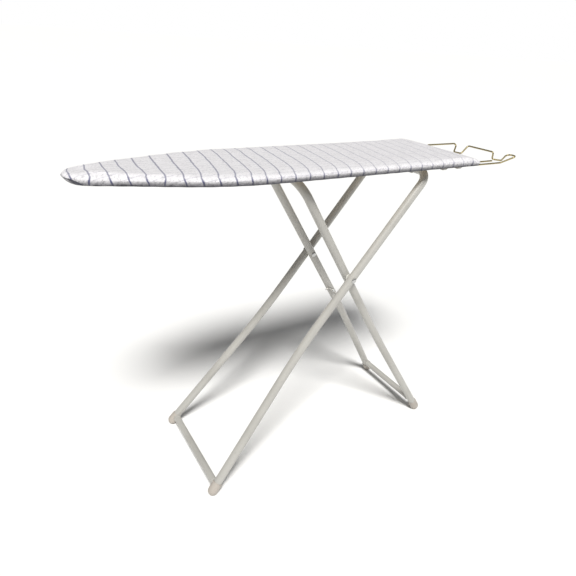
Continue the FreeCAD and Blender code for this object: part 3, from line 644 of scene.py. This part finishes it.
def cleaned(mesh, distance=1e-5):
    """Merges doubles and turns every face outward."""
    bm = bmesh.new()
    bm.from_mesh(mesh)
    bmesh.ops.remove_doubles(bm, verts=bm.verts, dist=distance)
    bmesh.ops.dissolve_degenerate(bm, edges=bm.edges, dist=distance)
    bmesh.ops.recalc_face_normals(bm, faces=bm.faces)
    bm.to_mesh(mesh)
    bm.free()
    return mesh


def smooth(mesh):
    mesh.polygons.foreach_set("use_smooth", [True] * len(mesh.polygons))
    return mesh


def solved_mesh(piece, name):
    """Plain mesh of an object with its modifiers applied."""
    bpy.context.view_layer.update()
    evaluated = piece.evaluated_get(bpy.context.evaluated_depsgraph_get())
    mesh = bpy.data.meshes.new_from_object(evaluated)
    mesh.name = name
    return mesh


def baked(piece, name):
    """The piece with its modifiers applied and gone."""
    mesh = solved_mesh(piece, name)
    piece.modifiers.clear()
    piece.data = mesh
    return piece


def coordinates(mesh):
    co = np.empty(len(mesh.vertices) * 3)
    mesh.vertices.foreach_get("co", co)
    return co.reshape(-1, 3)


def store(mesh, co):
    mesh.vertices.foreach_set("co", co.ravel())
    mesh.update()


# ---- cover -----------------------------------------------------------------------------------

def simulate_padding(piece, look):
    """Lets the padding press the cloth out, with the hem held, and caps how far it may go."""
    before = coordinates(piece.data)
    held = piece.vertex_groups.new(name="hem_held")
    low = COVER_LOW.z + HEM_LINE
    pinned = [i for i, p in enumerate(before) if p[2] < low]
    held.add(pinned, 1.0, "REPLACE")
    cloth = piece.modifiers.new("padding", "CLOTH")
    settings = cloth.settings
    settings.quality = 6
    settings.mass = 0.25
    settings.tension_stiffness = 12.0
    settings.compression_stiffness = 6.0
    settings.shear_stiffness = 4.0
    settings.bending_stiffness = 0.4
    settings.use_pressure = True
    settings.uniform_pressure_force = 1.6
    settings.shrink_min = -0.012
    settings.vertex_group_mass = "hem_held"
    settings.effector_weights.gravity = 0.0
    cloth.collision_settings.use_collision = False
    scene = bpy.context.scene
    scene.frame_start = 1
    scene.frame_end = SIM_FRAMES
    for step in range(1, SIM_FRAMES + 1):
        scene.frame_set(step)
    evaluated = piece.evaluated_get(bpy.context.evaluated_depsgraph_get())
    after = coordinates(evaluated.to_mesh())
    piece.modifiers.clear()
    scene.frame_set(1)
    move = after - before
    far = np.linalg.norm(move, axis=1)
    scale = look.puff * np.tanh(far / look.puff) / np.maximum(far, 1e-9)
    store(piece.data, before + move * scale[:, None])


def half_width_at(points, x):
    """Half width of the board at each x, from its outline."""
    upper = points[points[:, 1] >= 0.0]
    order = np.argsort(upper[:, 0])
    return np.interp(x, upper[order, 0], upper[order, 1])


def nearest_outline(points, co):
    """Index of the outline point nearest each vertex, by plan position."""
    found = np.empty(len(co), dtype=int)
    for start in range(0, len(co), 2000):
        block = co[start:start + 2000, None, :2] - points[None, :, :]
        found[start:start + 2000] = np.argmin((block ** 2).sum(axis=2), axis=1)
    return found


def fold_hem(mesh, look, points, normals):
    """Gathers along the hem and a few slanting tucks on the side near the nose."""
    co = coordinates(mesh)
    near = nearest_outline(points, co)
    edge = points[near]
    out = normals[near]
    step = np.linalg.norm(points[1] - points[0])
    travel = near * step
    inset = ((edge - co[:, :2]) * out).sum(axis=1)
    height = (co[:, 2] - COVER_LOW.z) / FULL_HEIGHT
    side = np.clip(1.0 - inset / 0.014, 0.0, 1.0)
    low_share = np.clip(1.0 - height, 0.0, 1.0) ** 1.3
    bend = np.where(np.abs(out[:, 0]) > 0.12, 1.0, 0.6)
    wander = travel + 0.006 * np.sin(travel * 31.0) + 0.004 * height
    wander = wander * 2 * math.pi
    ripple = (np.sin(wander / 0.0231) + 0.6 * np.sin(wander / 0.0372 + 1.3)
              + 0.5 * np.sin(wander / 0.0127 + 0.4))
    shift = look.pucker * 0.5 * ripple * side * low_share * bend
    for x, hand, reach in PLEATS:
        slant = (co[:, 0] - x) - 1.5 * (co[:, 2] - COVER_LOW.z)
        ridge = np.exp(-(slant / 0.0034) ** 2) - 0.8 * np.exp(-((slant - 0.007) / 0.0045) ** 2)
        on_side = np.where(np.sign(co[:, 1]) == hand, 1.0, 0.0)
        fade = np.clip(1.0 - np.abs(co[:, 0] - x) / reach, 0.0, 1.0)
        shift += 0.0026 * ridge * on_side * fade * side * np.clip(1.3 - height, 0.0, 1.0)
    co[:, :2] += out * shift[:, None]
    co[:, 2] += 0.35 * shift * np.clip(height * 2.0, 0.0, 1.0)
    store(mesh, co)


def lay_cloth(mesh, look, points, normals):
    """UV map in metres of laid-out cloth, and how far down the side each point lies."""
    co = coordinates(mesh)
    near = nearest_outline(points, co)
    edge = points[near]
    out = normals[near]
    inset = np.clip(((edge - co[:, :2]) * out).sum(axis=1), 0.0, None)
    sloped = 1.0 - tail_slope(look, co[:, 0]) * look.tail_fall / FULL_HEIGHT
    height = (co[:, 2] - COVER_LOW.z) / sloped
    widest = FULL_HEIGHT - look.edge_fall
    reach = look.edge_reach
    fall = np.clip(FULL_HEIGHT - height, 0.0, look.edge_fall)
    over_edge = OVER_EDGE * np.hypot(np.clip(reach - inset, 0.0, None), fall)
    quarter = OVER_EDGE * math.hypot(reach, look.edge_fall)
    lower = height < widest
    turned_in = np.where(height < HEM_LINE, inset, 0.0)
    below = quarter + np.clip(widest - height, 0.0, None) + turned_in
    run = np.where(lower, below, over_edge)
    on_top = (~lower) & (inset >= reach)
    flat = np.where(on_top[:, None], co[:, :2], edge - out * reach + out * run[:, None])
    half = half_width_at(points, co[:, 0])
    across = np.clip(((co[:, 1] + half) / (2.0 * half) - 0.04) / 0.92, 0.0, 1.0)
    middle = np.clip((co[:, 0] - SKEW_FROM) / (SKEW_TO - SKEW_FROM), 0.0, 1.0)
    middle = middle * middle * (3.0 - 2.0 * middle)
    late = np.clip(2.0 * across - 1.0, 0.0, 1.0)
    lean = middle * across ** 0.72 + (1.0 - middle) * NOSE_SKEW * late
    u = flat[:, 0] - look.stripe_skew * lean
    tight = u < NOSE_CLOTH_X
    u[tight] = NOSE_CLOTH_X + (u[tight] - NOSE_CLOTH_X) * NOSE_CLOTH_PULL
    down = np.clip(run - 0.6 * quarter, 0.0, None) * np.where(on_top, 0.0, 1.0)
    for x, hand, pleat_reach in PLEATS:
        on_side = np.sign(co[:, 1]) == hand
        fade = np.clip(1.0 - np.abs(co[:, 0] - x) / pleat_reach, 0.0, 1.0) * on_side
        u += 0.6 * down * fade
    layer = mesh.uv_layers.new(name="cloth")
    loops = np.empty(len(mesh.loops), dtype=int)
    mesh.loops.foreach_get("vertex_index", loops)
    uv = np.stack([u[loops] + STRIPE_START, flat[loops, 1]], axis=1)
    layer.data.foreach_set("uv", uv.ravel())
    share = np.clip((run - 0.5 * quarter) / (quarter * 0.5 + widest), 0.0, 1.0)
    share = np.where(on_top, 0.0, share)
    dropped = mesh.attributes.new("side_drop", "FLOAT", "POINT")
    dropped.data.foreach_set("value", share.astype(np.float32))


def drop_inner_base(mesh, look, points, normals):
    """Opens the underside inside the hem."""
    co = coordinates(mesh)
    near = nearest_outline(points, co)
    inset = ((points[near] - co[:, :2]) * normals[near]).sum(axis=1)
    bm = bmesh.new()
    bm.from_mesh(mesh)
    bm.verts.ensure_lookup_table()
    limit = look.hem_width + 0.0009
    loose = []
    for face in bm.faces:
        low = all(v.co.z < COVER_LOW.z + HEM_LINE for v in face.verts)
        if low and any(inset[v.index] > limit for v in face.verts):
            loose.append(face)
    bmesh.ops.delete(bm, geom=loose, context="FACES")
    bm.to_mesh(mesh)
    bm.free()


class IRON_OT_cover(bpy.types.Operator):
    """Build the stretched cloth cover over the padding"""

    bl_idname = "ironing.cover"
    bl_label = "Cloth cover"

    def execute(self, context):
        look = context.scene.cover_settings
        points, normals = outline(look, 2000)
        travel = len(points) * np.linalg.norm(points[1] - points[0])
        mesh = cleaned(mesh_from_rings("ironing_cover", ring_stack(look, int(travel / look.cell))))
        piece = link(mesh, "ironing_cover")
        simulate_padding(piece, look)
        drop_inner_base(piece.data, look, points, normals)
        finer = piece.modifiers.new("finer", "SUBSURF")
        finer.levels = finer.render_levels = 1
        baked(piece, "ironing_cover")
        fold_hem(piece.data, look, points, normals)
        lay_cloth(piece.data, look, points, normals)
        wall = piece.modifiers.new("wall", "SOLIDIFY")
        wall.thickness = look.cloth_thick
        wall.offset = -1.0
        baked(piece, "ironing_cover")
        smooth(piece.data)
        piece.data.materials.clear()
        piece.data.materials.append(cover_material(look))
        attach(piece, "board")
        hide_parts("board_cover")
        return {"FINISHED"}


class IRON_OT_foam(bpy.types.Operator):
    """Build the foam filling under the cover"""

    bl_idname = "ironing.foam"
    bl_label = "Foam filling"

    def execute(self, context):
        look = context.scene.cover_settings
        points, normals = outline(look, 260)
        spine = spine_point(look, points)
        count = len(points)
        base = DECK_HIGH.z - COVER_LOW.z
        high = FULL_HEIGHT - look.cloth_thick - 0.0014
        inset = look.cloth_thick + 0.0022
        rings = []
        for share in (0.0, 0.5):
            flat = spine + (points - normals * inset - spine) * share
            rings.append(np.hstack([flat, np.full((count, 1), DECK_HIGH.z)]))
        for turn in np.linspace(0.0, math.pi / 2, 6):
            flat = points - normals * (inset + look.edge_reach * (1.0 - math.cos(turn)))
            flat[:, 0] = np.minimum(flat[:, 0], COVER_HIGH.x - FOAM_STOP)
            ring = settled(look, flat, np.full(count, base + (high - base) * math.sin(turn)))
            ring[:, 2] = np.maximum(ring[:, 2], DECK_HIGH.z + 0.00002 * turn)
            rings.append(ring)
        rim = points - normals * (inset + look.edge_reach)
        for share in (0.8, 0.6, 0.4, 0.2, 0.0):
            ring = settled(look, spine + (rim - spine) * share,
                           np.full(count, high + 0.0003 * (1.0 - share)))
            rings.append(ring)
        piece = link(smooth(cleaned(mesh_from_rings("foam_filling", rings))), "foam_filling")
        piece.data.materials.append(foam_material())
        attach(piece, "board")
        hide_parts("foam_pad")
        return {"FINISHED"}


class IRON_OT_binding(bpy.types.Operator):
    """Build the dark tape that binds the hem, and the patch round the nose"""

    bl_idname = "ironing.binding"
    bl_label = "Hem binding"

    def execute(self, context):
        look = context.scene.cover_settings
        count = 420
        points, normals = outline(look, count)
        nose = np.clip((COVER_LOW.x + 0.034 - points[:, 0]) / 0.020, 0.0, 1.0)
        foot = 0.0025 * nose
        reach = 0.0020 + 0.0095 * nose
        wave = 0.0003 * np.sin(np.arange(count) * 0.83)
        widest = FULL_HEIGHT - look.edge_fall
        stand = 0.0007 + 0.0005 * nose
        rings = []
        wall, _ = tucked(look, foot, widest)
        for under, behind in ((0.0125, 0.0012), (0.0095, 0.0009), (look.tuck + 0.0012, 0.0004)):
            inset = under * (1.0 - nose) + (wall + behind) * nose
            lift = (wave * 0.4 - stand) * (1.0 - nose) + foot
            rings.append(settled(look, points - normals * inset[:, None], lift))
        for share in (0.0, 0.2, 0.4, 0.6, 0.8, 1.0):
            height = foot + (reach - foot) * share
            inset, turn = tucked(look, height, widest)
            inset = inset - stand * (0.35 + 0.65 * np.sin(turn))
            inset = inset + wave * 0.4
            lift = height - stand * 0.6 * np.cos(turn) + wave * 0.5
            rings.append(settled(look, points - normals * inset[:, None], lift))
        piece = link(smooth(mesh_from_rings("hem_binding", rings)), "hem_binding")
        wall = piece.modifiers.new("wall", "SOLIDIFY")
        wall.thickness = 0.0005
        wall.offset = 1.0
        baked(piece, "hem_binding")
        cleaned(piece.data, 1e-6)
        tape = cloth_material("binding_tape", look.binding_colour, 0.0008, 0.8)
        piece.data.materials.append(tape)
        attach(piece, "board")
        return {"FINISHED"}


# ---- geometry nodes --------------------------------------------------------------------------

def new_tree(name, inputs):
    """Geometry tree with a Geometry input and output and the named number inputs."""
    tree = bpy.data.node_groups.new(name, "GeometryNodeTree")
    add_socket(tree, "Geometry", "NodeSocketGeometry", "INPUT")
    for label, kind, default in inputs:
        add_socket(tree, label, kind, "INPUT", default)
    add_socket(tree, "Geometry", "NodeSocketGeometry", "OUTPUT")
    return tree, tree.nodes.new("NodeGroupInput"), tree.nodes.new("NodeGroupOutput")


def set_inputs(modifier, values):
    for item in modifier.node_group.interface.items_tree:
        if item.item_type == "SOCKET" and item.in_out == "INPUT" and item.name in values:
            modifier[item.identifier] = values[item.name]


def finish_tree(tree, leave, geometry, material):
    """Ends a tree with real geometry and its material."""
    real = tree.nodes.new("GeometryNodeRealizeInstances")
    wire(tree, geometry, real.inputs["Geometry"])
    paint = tree.nodes.new("GeometryNodeSetMaterial")
    paint.inputs["Material"].default_value = material
    wire(tree, real.outputs["Geometry"], paint.inputs["Geometry"])
    wire(tree, paint.outputs["Geometry"], leave.inputs["Geometry"])


def beads_tree(name, material, shape):
    """Small beads spaced along each curve: stitches, or the ripples of a weld."""
    tree, enter, leave = new_tree(name, [
        ("Spacing", "NodeSocketFloat", 0.004), ("Radius", "NodeSocketFloat", 0.0004),
        ("Stretch", "NodeSocketFloat", 3.0), ("Jitter", "NodeSocketFloat", 0.1),
        ("Seed", "NodeSocketInt", 3)])
    resample = tree.nodes.new("GeometryNodeResampleCurve")
    resample.mode = "LENGTH"
    wire(tree, enter.outputs["Geometry"], resample.inputs["Curve"])
    wire(tree, enter.outputs["Spacing"], resample.inputs["Length"])
    points = tree.nodes.new("GeometryNodeCurveToPoints")
    points.mode = "EVALUATED"
    wire(tree, resample.outputs["Curve"], points.inputs["Curve"])
    ball = tree.nodes.new("GeometryNodeMeshUVSphere")
    preset(ball, {"Segments": shape[0], "Rings": shape[1]})
    wire(tree, enter.outputs["Radius"], ball.inputs["Radius"])
    place = tree.nodes.new("GeometryNodeInstanceOnPoints")
    wire(tree, points.outputs["Points"], place.inputs["Points"])
    wire(tree, ball.outputs["Mesh"], place.inputs["Instance"])
    wire(tree, points.outputs["Rotation"], place.inputs["Rotation"])
    vary = tree.nodes.new("FunctionNodeRandomValue")
    vary.data_type = "FLOAT"
    wire(tree, enter.outputs["Seed"], vary.inputs["Seed"])
    vary.inputs[2].default_value = 0.0
    vary.inputs[3].default_value = 1.0
    swell = scaled(tree, vary.outputs[1], enter.outputs["Jitter"], 1.0)
    size = tree.nodes.new("ShaderNodeCombineXYZ")
    put(tree, swell, size.inputs["X"])
    put(tree, swell, size.inputs["Y"])
    put(tree, times(tree, swell, enter.outputs["Stretch"]), size.inputs["Z"])
    wire(tree, size.outputs["Vector"], place.inputs["Scale"])
    shade = tree.nodes.new("GeometryNodeSetShadeSmooth")
    wire(tree, place.outputs["Instances"], shade.inputs["Geometry"])
    finish_tree(tree, leave, shade.outputs["Geometry"], material)
    return tree


def poly_curve(name, loops):
    """Curve object of closed straight-segment loops."""
    data = bpy.data.curves.new(name, "CURVE")
    data.dimensions = "3D"
    for loop in loops:
        spline = data.splines.new("POLY")
        spline.points.add(len(loop) - 1)
        for point, place in zip(spline.points, loop):
            point.co = (place[0], place[1], place[2], 1.0)
        spline.use_cyclic_u = True
    piece = bpy.data.objects.new(name, data)
    bpy.context.scene.collection.objects.link(piece)
    return piece


def grown(name, loops, tree, values):
    """Plain mesh piece made by a geometry tree along the loops."""
    guide = poly_curve(name + "_guide", loops)
    modifier = guide.modifiers.new("grow", "NODES")
    modifier.node_group = tree
    set_inputs(modifier, values)
    mesh = solved_mesh(guide, name)
    bpy.data.objects.remove(guide)
    if len(mesh.polygons) == 0:
        raise RuntimeError("%s came out empty" % name)
    return link(mesh, name)


class IRON_OT_stitches(bpy.types.Operator):
    """Build the row of stitches along the hem"""

    bl_idname = "ironing.stitches"
    bl_label = "Hem stitches"

    def execute(self, context):
        look = context.scene.cover_settings
        points, normals = outline(look, 700)
        flat = points - normals * STITCH_INSET
        loop = settled(look, flat, np.full(len(flat), STITCH_DEPTH))
        thread = cloth_material("hem_thread", (0.62, 0.61, 0.66), 0.0003, 0.7)
        tree = beads_tree("stitch_row", thread, (6, 4))
        piece = grown("hem_stitches", [loop], tree,
                      {"Spacing": 0.0042, "Radius": 0.0004, "Stretch": 3.6, "Jitter": 0.15})
        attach(piece, "board")
        return {"FINISHED"}


def weld_loop(centre, axis, radius, count):
    """Circle of points round a bar where it meets a leg."""
    side = axis.cross(Vector((0.0, 0.0, 1.0))).normalized()
    up = side.cross(axis).normalized()
    ring = []
    for step in range(count):
        turn = 2 * math.pi * step / count
        ring.append(centre + side * (radius * math.cos(turn)) + up * (radius * math.sin(turn)))
    return ring


class IRON_OT_welds(bpy.types.Operator):
    """Build the weld beads where the cross bars meet the legs"""

    bl_idname = "ironing.welds"
    bl_label = "Weld beads"

    def execute(self, context):
        metal = context.scene.metal_settings
        enamel = bpy.data.materials["frame_enamel_finish"]
        tree = beads_tree("weld_ripples", enamel, (8, 6))
        for body in ("outer", "inner"):
            low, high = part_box(body + "_cross_bar")
            middle = (low + high) / 2
            radius = (high.z - low.z) / 2
            bar = min(radius, 0.0104)
            loops = []
            for side in (-1.0, 1.0):
                end = Vector((middle.x, side * (high.y - 0.0105), middle.z))
                loops.append(weld_loop(end, Vector((0.0, 1.0, 0.0)), bar, 48))
            around = 2 * math.pi * bar / metal.weld_count
            piece = grown(body + "_weld_beads", loops, tree,
                          {"Spacing": around, "Radius": metal.weld_bead * 0.75, "Stretch": 0.8,
                           "Jitter": 0.25})
            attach(piece, body + "_frame")
        return {"FINISHED"}


# ---- finishes of the CAD nodes ---------------------------------------------------------------

def slot_finishes(metal):
    """One material for each finish of the record that stays visible."""
    enamel = finish_material("frame_enamel_finish", metal.enamel_colour, metal.enamel_shadow,
                             0.35, 0.34, 0.18, 0.0, 0.10, 0.25)
    zinc = finish_material("zinc_finish", metal.zinc_colour, toned(metal.zinc_colour, 0.6),
                           0.5, 0.30, 0.20, 1.0, 0.12)
    brass = finish_material("rest_wire_finish", metal.wire_colour,
                            toned(metal.wire_colour, 0.55), 0.45, 0.32, 0.2, 0.9, 0.10)
    cap = finish_material("foot_cap_finish", metal.cap_colour, toned(metal.cap_colour, 0.6),
                          0.45, 0.52, 0.15, 0.0, 0.22)
    nylon = finish_material("washer_nylon", (0.78, 0.77, 0.72), (0.55, 0.54, 0.50),
                            0.3, 0.45, 0.1, 0.0, 0.1)
    bracket = finish_material("bracket_nylon", (0.33, 0.32, 0.30), (0.20, 0.19, 0.18),
                              0.3, 0.50, 0.15, 0.0, 0.25)
    hook = finish_material("hook_wire_finish", (0.72, 0.70, 0.66), (0.48, 0.45, 0.40),
                           0.4, 0.28, 0.2, 0.9, 0.08)
    return {
        "frame_enamel": enamel,
        "zinc_steel": zinc,
        "brass_wire": brass,
        "foot_plastic": cap,
        "washer_plastic": nylon,
        "bracket_plastic": bracket,
        "hook_wire": hook,
        "deck_panel": particle_board_material(metal.deck_colour),
    }


class IRON_OT_finishes(bpy.types.Operator):
    """Give every structural part its finish"""

    bl_idname = "ironing.finishes"
    bl_label = "Finishes"

    def execute(self, context):
        finishes = slot_finishes(context.scene.metal_settings)
        for name, part in frame["nodes"].items():
            finish = finishes.get(SLOTS[name])
            if finish is None:
                continue
            part.data.materials.clear()
            part.data.materials.append(finish)
        return {"FINISHED"}


# ---- stage -----------------------------------------------------------------------------------

def add_camera(stage):
    data = bpy.data.cameras.new("camera")
    data.lens = stage.camera_lens
    data.sensor_width = 36.0
    data.clip_end = 60.0
    camera = bpy.data.objects.new("camera", data)
    yaw, pitch, roll = stage.camera_yaw, stage.camera_pitch, stage.camera_roll
    ahead = Vector((math.sin(yaw) * math.cos(pitch), math.cos(yaw) * math.cos(pitch),
                    -math.sin(pitch)))
    right = Vector((math.cos(yaw), -math.sin(yaw), 0.0))
    up = right.cross(ahead)
    side = right * math.cos(roll) + up * math.sin(roll)
    top = up * math.cos(roll) - right * math.sin(roll)
    turn = Matrix((side, top, -ahead)).transposed()
    camera.matrix_world = Matrix.Translation(Vector(stage.camera_place)) @ turn.to_4x4()
    bpy.context.scene.collection.objects.link(camera)
    bpy.context.scene.camera = camera


class IRON_OT_stage(bpy.types.Operator):
    """Set the camera, the floor and the soft light"""

    bl_idname = "ironing.stage"
    bl_label = "Stage"

    def execute(self, context):
        stage = context.scene.stage_settings
        add_camera(stage)
        bm = bmesh.new()
        bmesh.ops.create_grid(bm, x_segments=8, y_segments=8, size=90.0)
        mesh = bpy.data.meshes.new("studio_floor")
        bm.to_mesh(mesh)
        bm.free()
        floor = link(mesh, "studio_floor")
        paint, tree, shader = new_material("floor_paint")
        shade = noise(tree, object_coords(tree), 0.6, 2.0)
        wire(tree, mix_colour(tree, shade, full(stage.floor_colour),
                              toned(stage.floor_colour, 0.99)),
             shader.inputs["Base Color"])
        preset(shader, {"Roughness": 0.9, "Specular IOR Level": 0.1})
        mesh.materials.append(paint)
        world = bpy.data.worlds.new("studio")
        world.use_nodes = True
        sky = world.node_tree
        soft = sky.nodes["Background"]
        preset(soft, {"Color": (0.97, 0.985, 1.0, 1), "Strength": stage.ambient})
        backdrop = sky.nodes.new("ShaderNodeBackground")
        backdrop.inputs["Color"].default_value = (1, 1, 1, 1)
        seen = sky.nodes.new("ShaderNodeLightPath")
        choose = sky.nodes.new("ShaderNodeMixShader")
        wire(sky, seen.outputs["Is Camera Ray"], choose.inputs["Fac"])
        wire(sky, soft.outputs["Background"], choose.inputs[1])
        wire(sky, backdrop.outputs["Background"], choose.inputs[2])
        wire(sky, choose.outputs["Shader"], sky.nodes["World Output"].inputs["Surface"])
        context.scene.world = world
        lamp = bpy.data.lights.new("key", "SUN")
        lamp.energy = stage.key_strength
        lamp.angle = stage.key_softness
        lamp.color = (1.0, 0.99, 0.97)
        key = bpy.data.objects.new("key", lamp)
        key.rotation_euler = Vector(stage.key_from).to_track_quat("Z", "Y").to_euler()
        context.scene.collection.objects.link(key)
        context.scene.view_settings.view_transform = "Standard"
        return {"FINISHED"}


class IRON_PT_panel(bpy.types.Panel):
    """Lists the steps in the sidebar"""

    bl_label = "Ironing board"
    bl_idname = "IRON_PT_panel"
    bl_space_type = "VIEW_3D"
    bl_region_type = "UI"
    bl_category = "Ironing board"

    def draw(self, context):
        layout = self.layout
        for operator in OPERATORS:
            layout.operator(operator.bl_idname)
        for group in (context.scene.cover_settings, context.scene.metal_settings,
                      context.scene.stage_settings):
            box = layout.box()
            for name in group.__annotations__:
                box.prop(group, name)


SETTINGS = {
    "cover_settings": CoverSettings,
    "metal_settings": MetalSettings,
    "stage_settings": StageSettings,
}
OPERATORS = (IRON_OT_finishes, IRON_OT_foam, IRON_OT_binding, IRON_OT_stitches, IRON_OT_cover,
             IRON_OT_welds, IRON_OT_stage)


def register():
    for name, group in SETTINGS.items():
        bpy.utils.register_class(group)
        setattr(bpy.types.Scene, name, PointerProperty(type=group))
    for operator in OPERATORS:
        bpy.utils.register_class(operator)
    bpy.utils.register_class(IRON_PT_panel)


def unregister():
    bpy.utils.unregister_class(IRON_PT_panel)
    for operator in reversed(OPERATORS):
        bpy.utils.unregister_class(operator)
    for name, group in SETTINGS.items():
        delattr(bpy.types.Scene, name)
        bpy.utils.unregister_class(group)


def main():
    register()
    bpy.ops.ironing.stage()
    bpy.ops.ironing.finishes()
    bpy.ops.ironing.foam()
    bpy.ops.ironing.binding()
    bpy.ops.ironing.stitches()
    bpy.ops.ironing.cover()
    bpy.ops.ironing.welds()


if __name__ == "__main__":
    main()
